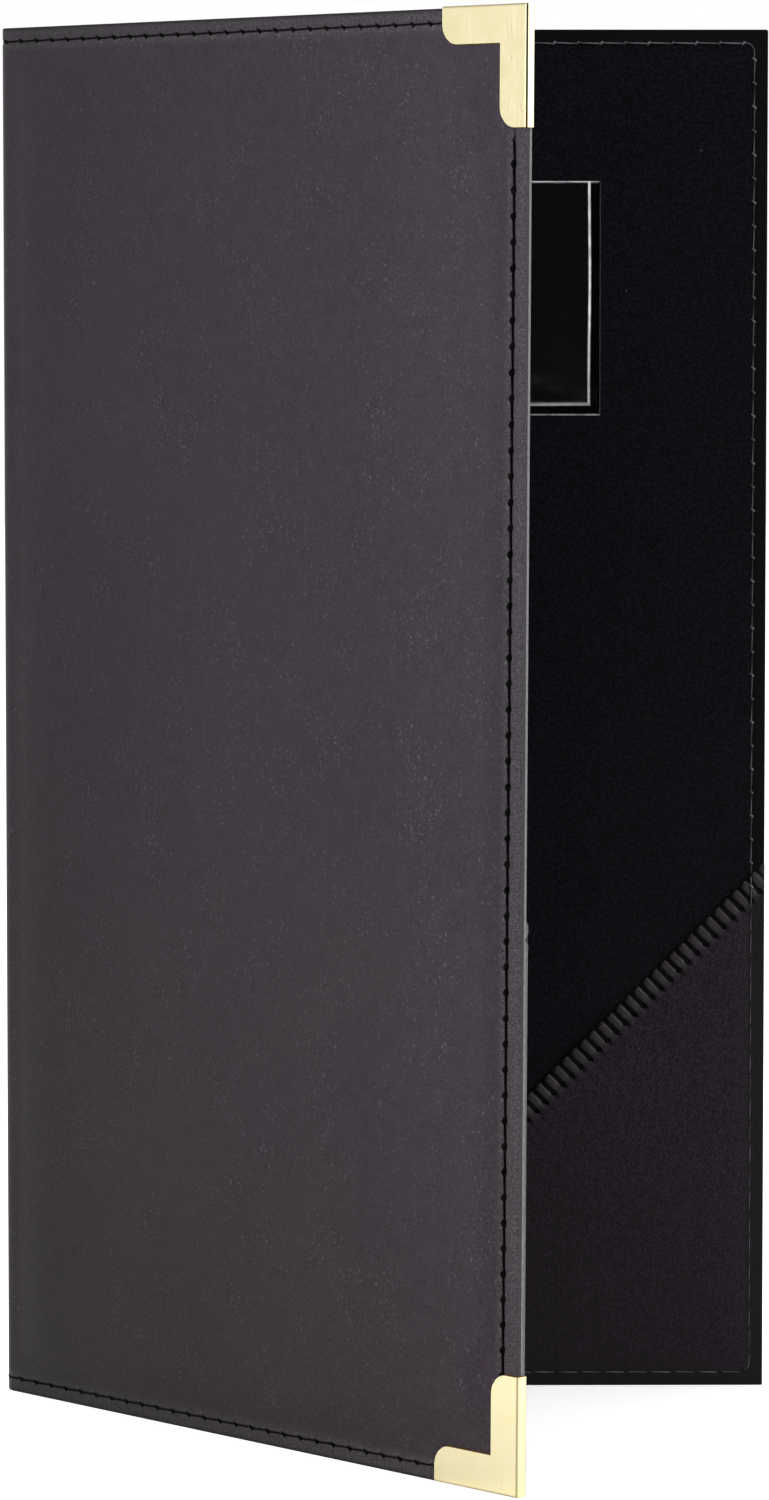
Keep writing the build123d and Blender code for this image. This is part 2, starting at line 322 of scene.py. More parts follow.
# Numbers of a colour Mix node's inputs and output.
FACTOR, COLOUR_A, COLOUR_B, MIXED = 0, 6, 7, 2


def needle_holes(material, width, length):
    """The seam's needle holes, slanting ellipses one stitch apart: a mask that is 1 in the hole, which is
    painted as shade, one of the lip that the needle raised on its near side, where the skin has a painted
    highlight, and the distance inside the seam."""
    place = add_node(material, "UVMap", uv_map="sheet")
    way = add_node(material, "SeparateXYZ", {0: place.outputs[0]})
    along_hole = add_node(
        material, "Math", {0: way.outputs[0], 1: stitch_pitch / 2, 2: -stitch_pitch / 2}, operation="WRAP"
    )
    local = add_node(material, "CombineXYZ", {0: along_hole.outputs[0], 1: way.outputs[1]})
    slanted = add_node(
        material,
        "Mapping",
        {
            "Vector": local.outputs[0],
            "Rotation": (0, 0, radians(hole_slant)),
            "Scale": (length / 2, width / 2, 1),
        },
        vector_type="TEXTURE",
    )
    distance = add_node(material, "VectorMath", {0: slanted.outputs[0]}, operation="LENGTH")
    hole = add_node(
        material, "MapRange", {0: distance.outputs["Value"], 1: 0.75, 2: 1.15, 3: 1.0, 4: 0.0}, clamp=True
    )
    ring = add_node(
        material, "MapRange", {0: distance.outputs["Value"], 1: 1.2, 2: 1.9, 3: 1.0, 4: 0.0}, clamp=True
    )
    near_side = add_node(material, "MapRange", {0: along_hole.outputs[0], 1: -0.1, 2: -0.5, 3: 0.0, 4: 1.0})
    lip = add_node(material, "Math", {0: ring.outputs[0], 1: near_side.outputs[0]}, operation="MULTIPLY")
    return hole.outputs[0], lip.outputs[0], way.outputs[1]


def charcoal_leatherette():
    """Charcoal leatherette: calendered PVC on knit, embossed with a fine grain. It gives the eye a soft
    dull sheen, a faint plum cast that wanders over the sheet, and specks of dust in its grain."""
    material, shader = new_material("charcoal_leatherette")
    place = add_node(material, "TexCoord").outputs["Object"]
    cloud = add_node(material, "TexNoise", {"Vector": place, "Scale": per_metre(38), "Detail": 3.0})
    fine = add_node(material, "TexNoise", {"Vector": place, "Scale": per_metre(0.42), "Detail": 3.0})
    height = add_node(material, "SeparateXYZ", {0: place})
    cast = add_node(
        material, "Math", {0: height.outputs[2], 1: 5.0, 2: cloud.outputs[0]}, operation="MULTIPLY_ADD"
    )
    plum = add_node(material, "MapRange", {0: cast.outputs[0], 1: 0.5, 2: 1.5, 3: 0.0, 4: 1.0})
    tint = add_node(
        material,
        "Mix",
        {FACTOR: plum.outputs[0], COLOUR_A: linear("#342b31"), COLOUR_B: linear("#362d38")},
        data_type="RGBA",
    )
    blotch = add_node(material, "TexNoise", {"Vector": place, "Scale": per_metre(3.2), "Detail": 4.0})
    grained = add_node(
        material, "Math", {0: blotch.outputs[0], 1: 0.35, 2: fine.outputs[0]}, operation="MULTIPLY_ADD"
    )
    mottle = add_node(material, "MapRange", {0: grained.outputs[0], 1: 0.48, 2: 0.87, 3: 0.7, 4: 1.3})
    toned = add_node(
        material,
        "Mix",
        {FACTOR: 1.0, COLOUR_A: tint.outputs[MIXED], COLOUR_B: mottle.outputs[0]},
        data_type="RGBA",
        blend_type="MULTIPLY",
    )
    # Scuffs, pale flecks under 1 mm in loose drifts, and here and there a mote of dust.
    fleck = add_node(material, "TexNoise", {"Vector": place, "Scale": per_metre(0.6), "Detail": 1.0})
    drift = add_node(material, "TexNoise", {"Vector": place, "Scale": per_metre(11), "Detail": 2.0})
    speck = add_node(material, "MapRange", {0: fleck.outputs[0], 1: 0.6, 2: 0.82, 3: 0.0, 4: 1.0})
    rare = add_node(material, "MapRange", {0: drift.outputs[0], 1: 0.45, 2: 0.7, 3: 0.2, 4: 0.7})
    scuffed = add_node(material, "Math", {0: speck.outputs[0], 1: rare.outputs[0]}, operation="MULTIPLY")
    cells = add_node(material, "TexVoronoi", {"Vector": place, "Scale": per_metre(5)})
    mote = add_node(material, "MapRange", {0: cells.outputs["Distance"], 1: 0.02, 2: 0.045, 3: 1.4, 4: 0.0})
    chosen = add_node(material, "SeparateXYZ", {0: cells.outputs["Color"]})
    bright = add_node(material, "MapRange", {0: chosen.outputs[0], 1: 0.75, 2: 1.0, 3: 0.0, 4: 1.0})
    motes = add_node(material, "Math", {0: mote.outputs[0], 1: bright.outputs[0]}, operation="MULTIPLY")
    dusty = add_node(material, "Math", {0: scuffed.outputs[0], 1: motes.outputs[0]}, operation="MAXIMUM")
    dusted = add_node(
        material,
        "Mix",
        {FACTOR: dusty.outputs[0], COLOUR_A: toned.outputs[MIXED], COLOUR_B: linear("#736e74")},
        data_type="RGBA",
    )
    hole, lip, within = needle_holes(material, 0.7, 1.7)
    # Outside the seam the border is a speckled grey, partly rubbed wear and partly painted light, most of
    # all at its edge. The board's side of the seam and the lip that the needle raised by each hole are
    # painted highlights.
    wear_and_highlight = add_node(material, "MapRange", {0: within, 1: -3.2, 2: -0.3, 3: 0.3, 4: 0.2})
    step_highlight = add_node(material, "MapRange", {0: within, 1: 0.2, 2: 2.0, 3: 0.34, 4: 0.0})
    outside = add_node(material, "Math", {0: within, 1: 0.0}, operation="LESS_THAN")
    seam = add_node(material, "Mix", {0: outside.outputs[0], 2: step_highlight.outputs[0], 3: wear_and_highlight.outputs[0]})
    highlight_and_wear = add_node(material, "Math", {0: lip, 1: 0.5, 2: seam.outputs[0]}, operation="MULTIPLY_ADD")
    dots = add_node(material, "TexNoise", {"Vector": place, "Scale": per_metre(0.28), "Detail": 1.0})
    speckle = add_node(
        material, "MapRange", {0: dots.outputs[0], 1: 0.35, 2: 0.65, 3: -0.6, 4: 2.6}, clamp=True
    )
    patchy = add_node(material, "Math", {0: highlight_and_wear.outputs[0], 1: speckle.outputs[0]}, operation="MULTIPLY")
    bordered = add_node(
        material,
        "Mix",
        {FACTOR: patchy.outputs[0], COLOUR_A: dusted.outputs[MIXED], COLOUR_B: linear("#5d5a5d")},
        data_type="RGBA",
    )
    # The groove and the needle holes are painted in shade, and the groove is wider where the seam is slack.
    from_seam = add_node(material, "Math", {0: within}, operation="ABSOLUTE")
    slack = add_node(material, "Attribute", attribute_name="slack")
    trench = add_node(
        material, "Math", {0: from_seam.outputs[0], 1: slack.outputs["Fac"]}, operation="DIVIDE"
    )
    shade = add_node(material, "MapRange", {0: trench.outputs[0], 1: 0.08, 2: 0.26, 3: 0.75, 4: 0.0})
    dark = add_node(material, "Math", {0: shade.outputs[0], 1: hole}, operation="MAXIMUM")
    sewn = add_node(
        material,
        "Mix",
        {FACTOR: dark.outputs[0], COLOUR_A: bordered.outputs[MIXED], COLOUR_B: linear("#030303")},
        data_type="RGBA",
    )
    # Painted light and shade: the tint is paler towards the free edge and the top, along the fold and in a
    # band 100 to 136 mm out from the crease, and a line of painted shade darkens the bottom and top rim.
    rubbed = add_node(material, "Attribute", attribute_name="rubbed")
    lit_and_shaded = add_node(
        material,
        "Mix",
        {FACTOR: 1.0, COLOUR_A: sewn.outputs[MIXED], COLOUR_B: rubbed.outputs["Fac"]},
        data_type="RGBA",
        blend_type="MULTIPLY",
    )
    grain = add_node(material, "TexVoronoi", {"Vector": place, "Scale": per_metre(0.55)}, feature="SMOOTH_F1")
    relief = add_node(material, "Math", {0: grain.outputs["Distance"], 1: fine.outputs[0]}, operation="ADD")
    sunk = add_node(material, "Math", {0: hole, 1: -3.0, 2: relief.outputs[0]}, operation="MULTIPLY_ADD")
    bump = add_node(material, "Bump", {"Strength": 0.35, "Distance": 0.0001, "Height": sunk.outputs[0]})
    rough = add_node(material, "MapRange", {0: cloud.outputs[0], 1: 0.3, 2: 0.7, 3: 0.5, 4: 0.6})
    join(
        material,
        shader,
        {
            "Base Color": lit_and_shaded.outputs[MIXED],
            "Roughness": rough.outputs[0],
            "Normal": bump.outputs[0],
            "IOR": 1.5,
            "Specular IOR Level": 0.2,
        },
    )
    return material


def cut_edge(name, pale, deep):
    """The raw edge of a coated sheet, cut with a knife: pressed fibres, with the two coats as darker
    lines, and short loose ends that catch the light."""
    material, shader = new_material(name)
    place = add_node(material, "TexCoord").outputs["Object"]
    stretched = add_node(material, "Mapping", {"Vector": place, "Scale": (1, 1, 0.35)})
    fibre = add_node(
        material, "TexNoise", {"Vector": stretched.outputs[0], "Scale": per_metre(0.35), "Detail": 3.0}
    )
    mixed = add_node(
        material,
        "Mix",
        {FACTOR: fibre.outputs[0], COLOUR_A: linear(deep), COLOUR_B: linear(pale)},
        data_type="RGBA",
    )
    bump = add_node(material, "Bump", {"Strength": 0.5, "Distance": 0.00015, "Height": fibre.outputs[0]})
    join(
        material,
        shader,
        {"Base Color": mixed.outputs[MIXED], "Roughness": 0.85, "Normal": bump.outputs[0]},
    )
    return material


# Rows of the sheets' grids, close together at the seam, the pillowed step and the guards.
lower_half = stations(0, 0.12, 0.4, 0.5, 1.9, 0.2, 3.1, 0.55, 7.5, 1.25, 26, 3.6, cover_height / 2)
sheet_z = np.concatenate([lower_half, cover_height - lower_half[-2::-1]])
free_edge = stations(0, 0.12, 0.4, 0.5, 2.2, 0.2, 4.4, 0.5, 8.5, 1.25, 26)
sheet_u = np.concatenate(
    [
        stations(-bend_extra, 0.31, bend_tangent, 0.6, 7.5, 3.8, cover_width - 26),
        (cover_width - free_edge)[-2::-1],
    ]
)
leatherette = charcoal_leatherette()
skin_cut = cut_edge("cut_edge_of_leatherette", "#464345", "#2c2a2d")


def skin(side):
    """Half of the outer skin. Outside it stands at skin_outer + rise - groove, with the edge pressed
    down a little where it was cut, and its inner face runs one thickness further in. Its points carry
    the light and shade painted on it and how slack its seam is."""
    u, z = np.meshgrid(sheet_u, sheet_z)
    way, within = seam_place(side, u, z)
    edge = np.minimum(cover_width - u, np.minimum(z, cover_height - z))
    pressed = cut_press * (1 - smooth(edge / cut_press_width))
    rise = board_rise * board_step(side, u, z)
    flat_u, flat_z = round_corners(u, z, corner_radius)
    slack = seam_slack(u)
    level = skin_outer + rise - seam_groove(within, groove_depth, groove_width * slack) - pressed
    outer = on_sheet(side, flat_u, flat_z, level)
    inner = on_sheet(side, flat_u, flat_z, skin_inner + rise)
    piece = slab(f"{side}_leatherette", outer, inner, np.stack([way, within], axis=-1))
    # Its painted light and shade, and how slack its seam is.
    mark(piece, rubbed=painted_light_scale(u, z), slack=slack)
    piece.data.materials.append(leatherette)
    piece.data.materials.append(skin_cut)
    return piece


def bend_with_fold(piece, side):
    """Bakes a piece's transform into its mesh. The start and end of the bend are worked out, but
    nothing bends the piece by them."""
    start = on_sheet(side, -bend_extra + flat_spine, cover_height / 2, 0.0) * MM
    end = on_sheet(side, bend_tangent, cover_height / 2, 0.0) * MM
    if side == "back":
        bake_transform(piece)
    else:
        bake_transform(piece)


for side in ("front", "back"):
    piece = skin(side)
    bend_with_fold(piece, side)
    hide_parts(f"{side}_cover_skin", "spine_skin")

# ------------------------------------------------------------------------------------------------
# Boards. Two plates of greyboard, one in each cover, cut from recycled pulp board. They lie loose
# between skin and lining, held by the seam round them, and stiffen the covers.
# ------------------------------------------------------------------------------------------------


def recycled_board():
    """Uncoated greyboard: matt grey pulp with paler and darker fibres."""
    material, shader = new_material("recycled_greyboard")
    place = add_node(material, "TexCoord").outputs["Object"]
    fibre = add_node(material, "TexNoise", {"Vector": place, "Scale": per_metre(0.8), "Detail": 5.0})
    mixed = add_node(
        material,
        "Mix",
        {FACTOR: fibre.outputs[0], COLOUR_A: linear("#7d7a74"), COLOUR_B: linear("#a8a49c")},
        data_type="RGBA",
    )
    bump = add_node(material, "Bump", {"Strength": 0.3, "Distance": 0.0001, "Height": fibre.outputs[0]})
    join(
        material,
        shader,
        {"Base Color": mixed.outputs[MIXED], "Roughness": 0.9, "Normal": bump.outputs[0]},
    )
    return material


board_inset = 6.5  # from the free edges
board_start = 6.1  # from the crease
notch_arm = 9.65  # the front plate steps back from the guards by this much beside each arm
notch_length = 23.95
board_play = 0.03
board_pared = 0.15  # least room that the sewn-down border leaves it


def board(side):
    """One plate: a flat grid whose outer face follows the skin's inner one, pared down at the edges. On
    the front, the cells where distances from both edges are less than a guard's L are left out."""
    notches = (notch_length, notch_length - notch_arm, notch_arm, notch_arm - board_inset, board_inset)
    foot = stations(board_start, 1.3, board_start + 8)[:-1]
    u = np.concatenate([foot, stations(foot[-1], 6.0, cover_width - notches[0])[1:-1]])
    u = np.concatenate([u, cover_width - stations(notches[0], 1.8, notches[2], 1.6, notches[4])])
    low = stations(notches[0], 1.8, notches[2], 1.6, notches[4])[::-1]
    z = np.concatenate([low, stations(low[-1], 6.0, cover_height - low[-1])[1:-1], cover_height - low[::-1]])
    u, z = np.meshgrid(u, z)
    cells_u, cells_z = ((grid[1:, 1:] + grid[:-1, :-1]).ravel() / 2 for grid in (u, z))
    edge_u, edge_z = cover_width - cells_u, cover_height / 2 - abs(cells_z - cover_height / 2)
    near, far = np.minimum(edge_u, edge_z), np.maximum(edge_u, edge_z)
    kept = (near > notch_arm) | (far > notch_length) | (side == "back")
    outer = skin_inner + np.maximum(board_rise * board_step(side, u, z), board_pared) - board_play
    outer, inner = on_sheet(side, u, z, outer), on_sheet(side, u, z, skin_inner + board_play)
    piece = slab(f"{side}_greyboard", outer, inner, kept=kept)
    piece.data.materials.append(greyboard)
    piece.data.materials.append(greyboard)
    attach(piece, f"{side}_cover")
    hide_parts(f"{side}_board")


greyboard = recycled_board()
for side in ("front", "back"):
    board(side)

# ------------------------------------------------------------------------------------------------
# Lining. One sheet of thin black vinyl covers the inside of both covers and the spine. It is sewn at
# the border seam, and cut off with the skin, and its cut edge is pale, a bright line in the edge.
# ------------------------------------------------------------------------------------------------
lining_inner = -0.9
bobbin_groove_depth = 0.1
bobbin_groove_width = 0.4


def black_vinyl():
    """Black lining vinyl: thin calendered PVC, nearly smooth. Very dark and a little blue, with faint
    clouds of sheen and a few specks of dust."""
    material, shader = new_material("black_lining_vinyl")
    place = add_node(material, "TexCoord").outputs["Object"]
    cloud = add_node(material, "TexNoise", {"Vector": place, "Scale": per_metre(25), "Detail": 3.0})
    fine = add_node(material, "TexNoise", {"Vector": place, "Scale": per_metre(0.5), "Detail": 3.0})
    pressed = add_node(material, "MapRange", {0: fine.outputs[0], 1: 0.42, 2: 0.62, 3: 0.0, 4: 1.0})
    tint = add_node(
        material,
        "Mix",
        {FACTOR: pressed.outputs[0], COLOUR_A: linear("#000002"), COLOUR_B: linear("#12101a")},
        data_type="RGBA",
    )
    hole, _, within = needle_holes(material, 0.5, 0.8)
    # Outside the seam the vinyl is rubbed greyer.
    rubbed = add_node(material, "MapRange", {0: within, 1: -0.6, 2: -0.2, 3: 1.0, 4: 0.0})
    border = add_node(
        material,
        "Mix",
        {FACTOR: rubbed.outputs[0], COLOUR_A: tint.outputs[MIXED], COLOUR_B: linear("#060607")},
        data_type="RGBA",
    )
    dust = add_node(material, "TexVoronoi", {"Vector": place, "Scale": per_metre(3.4)})
    speck = add_node(material, "MapRange", {0: dust.outputs["Distance"], 1: 0.035, 2: 0.06, 3: 1.0, 4: 0.0})
    chosen = add_node(material, "SeparateXYZ", {0: dust.outputs["Color"]})
    rare = add_node(material, "Math", {0: chosen.outputs[0], 1: 0.88}, operation="GREATER_THAN")
    dusty = add_node(material, "Math", {0: speck.outputs[0], 1: rare.outputs[0]}, operation="MULTIPLY")
    dusted = add_node(
        material,
        "Mix",
        {FACTOR: dusty.outputs[0], COLOUR_A: border.outputs[MIXED], COLOUR_B: linear("#55545a")},
        data_type="RGBA",
    )
    # The needle holes are painted near black as shade.
    sewn = add_node(
        material,
        "Mix",
        {FACTOR: hole, COLOUR_A: dusted.outputs[MIXED], COLOUR_B: linear("#020202")},
        data_type="RGBA",
    )
    bump = add_node(material, "Bump", {"Strength": 0.15, "Distance": 0.0001, "Height": fine.outputs[0]})
    rough = add_node(material, "MapRange", {0: cloud.outputs[0], 1: 0.3, 2: 0.7, 3: 0.42, 4: 0.55})
    join(
        material,
        shader,
        {
            "Base Color": sewn.outputs[MIXED],
            "Roughness": rough.outputs[0],
            "Normal": bump.outputs[0],
            "IOR": 1.5,
            "Specular IOR Level": 0.09,
        },
    )
    return material


vinyl = black_vinyl()
lining_cut = cut_edge("cut_edge_of_lining", "#a5a4a7", "#4c4b4e")


def lining(side):
    """Half of the lining: a flat sheet from skin_inner to lining_inner, cut level with the skin."""
    u, z = np.meshgrid(sheet_u, sheet_z)
    way, within = seam_place(side, u, z)
    flat_u, flat_z = round_corners(u, z, corner_radius)
    groove = seam_groove(within, bobbin_groove_depth, bobbin_groove_width)
    inner = on_sheet(side, flat_u, flat_z, lining_inner + groove)
    outer = on_sheet(side, flat_u, flat_z, skin_inner)
    piece = slab(f"{side}_lining_sheet", outer, inner, np.stack([way, within], axis=-1))
    piece.data.materials.append(vinyl)
    piece.data.materials.append(lining_cut)
    return piece


for side in ("front", "back"):
    piece = lining(side)
    bend_with_fold(piece, side)
    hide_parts(f"{side}_lining", "spine_lining")

# ------------------------------------------------------------------------------------------------
# Slanted pockets. Each is a triangle of pebbled leatherette laid on the lining in the lower free
# corner, sewn down with the border. Its mouth is folded over and whipped with thread, which pulls
# the fold into ribs.
# ------------------------------------------------------------------------------------------------
pocket_width = 100.0
pocket_height = 99.0
pocket_thickness = 0.4
panel_height = 0.6  # of the panel's face above the lining
rim_height = 0.4
swell_start = 2.6  # from the sewn edges in to where the panel leaves the lining
swell_width = 3.0
mouth_height = 1.12
mouth_width = 3.5
drop_start = 3.2  # where the folded mouth begins to fall to the panel
drop_width = 1.2
drop_end = 4.7
pocket_gap = 0.03  # between lining and pocket
fold_back = 0.6  # from the mouth's line to the end of the flat part behind it
fold_radius = 0.45
whip_pitch = 2.35
whip_pinch = 0.38  # half width of the notch that each whip stitch pulls
mouth_length = hypot(pocket_width, pocket_height)
down_mouth = np.array([-pocket_width, -pocket_height]) / mouth_length
into_pocket = np.array([pocket_height, -pocket_width]) / mouth_length


def pocket_place(s, t):
    """Place on the cover of the point s down the mouth from the free edge and t into the pocket."""
    u = cover_width + s * down_mouth[0] + t * into_pocket[0]
    z = pocket_height + s * down_mouth[1] + t * into_pocket[1]
    return u, z


def on_lining(side, u, z, height):
    """Place of a point on a cover's inside, height mm above the lining."""
    return on_sheet(side, u, z, lining_inner - height)


def whip_distance(s):
    """Distance along the mouth to the nearest whip stitch."""
    return abs((s - mouth_length / 2 + whip_pitch / 2) % whip_pitch - whip_pitch / 2)


def panel_level(u, z):
    """Height of the pocket's face: pressed flat at the border, then a soft swell over the panel."""
    edge = np.minimum(cover_width - u, z)
    return rim_height + (panel_height - rim_height) * smooth((edge - swell_start) / swell_width)


def pebbled_leatherette():
    """Pocket leatherette: the skin's vinyl in black, embossed with a coarser pebble, mottled darker and
    paler, with short bright flecks painted on its crowns as highlights. At the mouth the folded vinyl
    shows fine creases across it."""
    material, shader = new_material("pebbled_pocket_leatherette")
    place = add_node(material, "TexCoord").outputs["Object"]
    cloud = add_node(material, "TexNoise", {"Vector": place, "Scale": per_metre(22), "Detail": 3.0})
    fleck = add_node(material, "TexNoise", {"Vector": place, "Scale": per_metre(0.45), "Detail": 3.0})
    mouth = add_node(material, "UVMap", uv_map="mouth")
    way = add_node(material, "SeparateXYZ", {0: mouth.outputs[0]})
    tint = add_node(
        material,
        "Mix",
        {FACTOR: cloud.outputs[0], COLOUR_A: linear("#1b131c"), COLOUR_B: linear("#241a25")},
        data_type="RGBA",
    )
    # The pebble's mottle, whose brightest flecks are highlights painted on its crowns.
    crown = add_node(material, "MapRange", {0: fleck.outputs[0], 1: 0.4, 2: 0.66, 3: 0.4, 4: 1.85})
    # Painted shade: the pocket darkens towards its end by the spine, in the front cover's shade.
    cover_shade = add_node(material, "MapRange", {0: way.outputs[0], 1: -20.0, 2: 50.0, 3: 1.0, 4: 0.25})
    toned = add_node(material, "Math", {0: crown.outputs[0], 1: cover_shade.outputs[0]}, operation="MULTIPLY")
    pebbled = add_node(
        material,
        "Mix",
        {FACTOR: 1.0, COLOUR_A: tint.outputs[MIXED], COLOUR_B: toned.outputs[0]},
        data_type="RGBA",
        blend_type="MULTIPLY",
    )
    # Painted shade: near-black notches where the whip stitches pull in, each ending in a needle hole.
    nearest = add_node(
        material, "Math", {0: way.outputs[0], 1: whip_pitch / 2, 2: -whip_pitch / 2}, operation="WRAP"
    )
    off = add_node(material, "Math", {0: nearest.outputs[0]}, operation="ABSOLUTE")
    notch = add_node(material, "MapRange", {0: off.outputs[0], 1: 0.16, 2: 0.34, 3: 1.0, 4: 0.0})
    in_mouth = add_node(
        material, "MapRange", {0: way.outputs[1], 1: mouth_width - 0.5, 2: mouth_width, 3: 1.0, 4: 0.0}
    )
    notched = add_node(material, "Math", {0: notch.outputs[0], 1: in_mouth.outputs[0]}, operation="MULTIPLY")
    hole_place = add_node(material, "CombineXYZ", {0: nearest.outputs[0], 1: way.outputs[1]})
    hole_distance = add_node(
        material, "VectorMath", {0: hole_place.outputs[0], 1: (0, mouth_width - 0.3, 0)}, operation="DISTANCE"
    )
    hole = add_node(
        material, "MapRange", {0: hole_distance.outputs["Value"], 1: 0.5, 2: 0.72, 3: 1.0, 4: 0.0}
    )
    # The border seam's trench and needle holes are painted dark as shade too, and outside it the vinyl
    # is painted darker.
    stitch, _, within = needle_holes(material, 0.6, 1.4)
    from_seam = add_node(material, "Math", {0: within}, operation="ABSOLUTE")
    sewn = add_node(material, "MapRange", {0: from_seam.outputs[0], 1: 0.2, 2: 0.45, 3: 0.9, 4: 0.0})
    seam = add_node(material, "Math", {0: sewn.outputs[0], 1: stitch}, operation="MAXIMUM")
    painted_light_mask = add_node(material, "Math", {0: notched.outputs[0], 1: hole.outputs[0]}, operation="MAXIMUM")
    dark = add_node(material, "Math", {0: painted_light_mask.outputs[0], 1: seam.outputs[0]}, operation="MAXIMUM")
    outside = add_node(material, "MapRange", {0: within, 1: -0.6, 2: -0.2, 3: 0.8, 4: 0.0})
    bordered = add_node(
        material,
        "Mix",
        {FACTOR: outside.outputs[0], COLOUR_A: pebbled.outputs[MIXED], COLOUR_B: linear("#0b0a0a")},
        data_type="RGBA",
    )
    # Painted highlight: the folded mouth's ribs are painted paler, standing in for their sheen.
    fold = add_node(material, "Math", {0: in_mouth.outputs[0], 1: 0.42}, operation="MULTIPLY")
    wear_and_highlight = add_node(
        material,
        "Mix",
        {FACTOR: fold.outputs[0], COLOUR_A: bordered.outputs[MIXED], COLOUR_B: linear("#3e3a3e")},
        data_type="RGBA",
    )
    whipped = add_node(
        material,
        "Mix",
        {FACTOR: dark.outputs[0], COLOUR_A: wear_and_highlight.outputs[MIXED], COLOUR_B: linear("#020203")},
        data_type="RGBA",
    )
    creased = add_node(material, "Mapping", {"Vector": mouth.outputs[0], "Scale": (1, 0.12, 1)})
    crease_lines = add_node(material, "TexNoise", {"Vector": creased.outputs[0], "Scale": 2.2, "Detail": 2.0})
    folded = add_node(
        material,
        "Mix",
        {FACTOR: in_mouth.outputs[0], COLOUR_A: fleck.outputs[0], COLOUR_B: crease_lines.outputs[0]},
        data_type="RGBA",
    )
    bump = add_node(material, "Bump", {"Strength": 0.9, "Distance": 0.00022, "Height": folded.outputs[MIXED]})
    # Fingers have worn the ribs smoother than the panel, so they shine more between the notches.
    bare = add_node(
        material,
        "Math",
        {0: in_mouth.outputs[0], 1: dark.outputs[0]},
        operation="SUBTRACT",
        use_clamp=True,
    )
    worn_smooth = add_node(material, "MapRange", {0: bare.outputs[0], 1: 0.0, 2: 1.0, 3: 0.62, 4: 0.3})
    join(
        material,
        shader,
        {
            "Base Color": whipped.outputs[MIXED],
            "Roughness": worn_smooth.outputs[0],
            "Normal": bump.outputs[0],
            "IOR": 1.5,
            "Specular IOR Level": 0.22,
        },
    )
    return material


pebbled = pebbled_leatherette()
pocket_cut = cut_edge("cut_edge_of_pocket", "#8b8a8e", "#4a494c")


def pocket(side):
    """A pocket as one closed profile carried down its mouth. At each s the profile runs from the
    corner behind the panel up to the mouth, round the folded edge and back over its face. Across the
    mouth the ribs' height is mouth_height less a notch at each whip stitch, exp(-(distance/pinch)²)."""
    ribs = ceil(mouth_length / whip_pitch) + 1
    steps = np.array([0, 0.05, 0.1, 0.16, 0.24, 0.35, 0.5, 0.65, 0.76, 0.84, 0.9, 0.95])
    first = mouth_length / 2 - ribs // 2 * whip_pitch
    s = (first + whip_pitch * (np.arange(ribs)[:, None] + steps)).ravel()
    s = np.concatenate([[0.02], s[(s > 0.1) & (s < mouth_length - 0.1)], [mouth_length - 0.02]])[:, None]
    room = np.minimum(s * pocket_width / pocket_height, (mouth_length - s) * pocket_height / pocket_width)
    pinch = np.exp(-((whip_distance(s) / whip_pinch) ** 2))
    crown = 1 - (whip_distance(s) / (whip_pitch / 2) - 1) ** 2 * 0.5
    sewn_flat = 0.5 + 0.5 * smooth((s * pocket_width / mouth_length - 1.0) / 3.5)
    lift = mouth_height * crown * (1 - 0.5 * pinch) * sewn_flat
    notch = 0.42 * pinch - 0.12

    face_t = np.array([0.45, 0.8, 1.3, 1.9, 2.5, 2.9, drop_start])
    drop_t = np.array([3.45, 3.7, 4.1, drop_end])
    pit = 0.35 * np.exp(-(((face_t - mouth_width + 0.3) / 0.4) ** 2)) * pinch
    ribbed = lift * (1 - 0.14 * smooth((face_t - 1.2) / 2)) - pit
    dropping = smooth((drop_t - drop_start) / drop_width)

    back_t = np.linspace(1, 0, 6) * (room - fold_back) + fold_back
    back_h = np.full_like(back_t, pocket_gap)
    turn_angle = np.linspace(-pi / 2, pi / 2, 7)
    edge_t = notch + fold_radius * (1 - np.cos(turn_angle))
    edge_h = lift * (0.5 + 0.5 * np.sin(turn_angle)) + pocket_gap * (1 - np.sin(turn_angle)) / 2
    far = 1 - (1 - np.linspace(0, 1, 15)[1:]) ** 1.7
    far_t = drop_end + (np.maximum(room, drop_end) - drop_end) * far

    face_u, face_z = pocket_place(s, np.minimum(far_t, room))
    drop_u, drop_z = pocket_place(s, np.minimum(drop_t, room))
    drop_h = ribbed[:, -1:] * (1 - dropping) + panel_level(drop_u, drop_z) * dropping
    face_t, drop_t = (np.broadcast_to(part, (len(s), len(part))) for part in (face_t, drop_t))
    t = np.concatenate([back_t, edge_t, face_t, drop_t, far_t], axis=1)
    h = np.concatenate([back_h, edge_h, ribbed, drop_h, panel_level(face_u, face_z)], axis=1)
    t = np.minimum(t, room)
    u, z = pocket_place(s, t)
    u = np.minimum(u, cover_width)
    z = np.maximum(z, 0)
    if side == "front":
        near_guard = smooth((u - cover_width + guard_length + 1) / 0.5)
        z = np.maximum(z, guard_wrap * near_guard)
    points = on_lining(side, u, z, h)
    rows, columns = t.shape
    index = np.arange(rows * columns).reshape(rows, columns)
    closed = np.concatenate([index, index[:, :1]], axis=1)
    faces = quads(closed)
    slots = np.zeros((rows - 1, columns), int)
    slots[:, -1] = 1
    if side == "back":
        faces = faces[:, ::-1]
    sheet = np.stack(seam_place(side, u, z), axis=-1).reshape(-1, 2)
    mouth = np.stack([np.broadcast_to(s, t.shape) - mouth_length / 2, t], axis=-1).reshape(-1, 2)
    piece = add_mesh(f"{side}_pocket_sheet", points.reshape(-1, 3), faces, sheet, slots.ravel())
    piece.data.uv_layers.new(name="mouth").uv.foreach_set("vector", mouth[faces.ravel()].ravel())
    piece.data.materials.append(pebbled)
    piece.data.materials.append(pocket_cut)
    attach(piece, f"{side}_cover")
    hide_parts(f"{side}_pocket")
    return piece


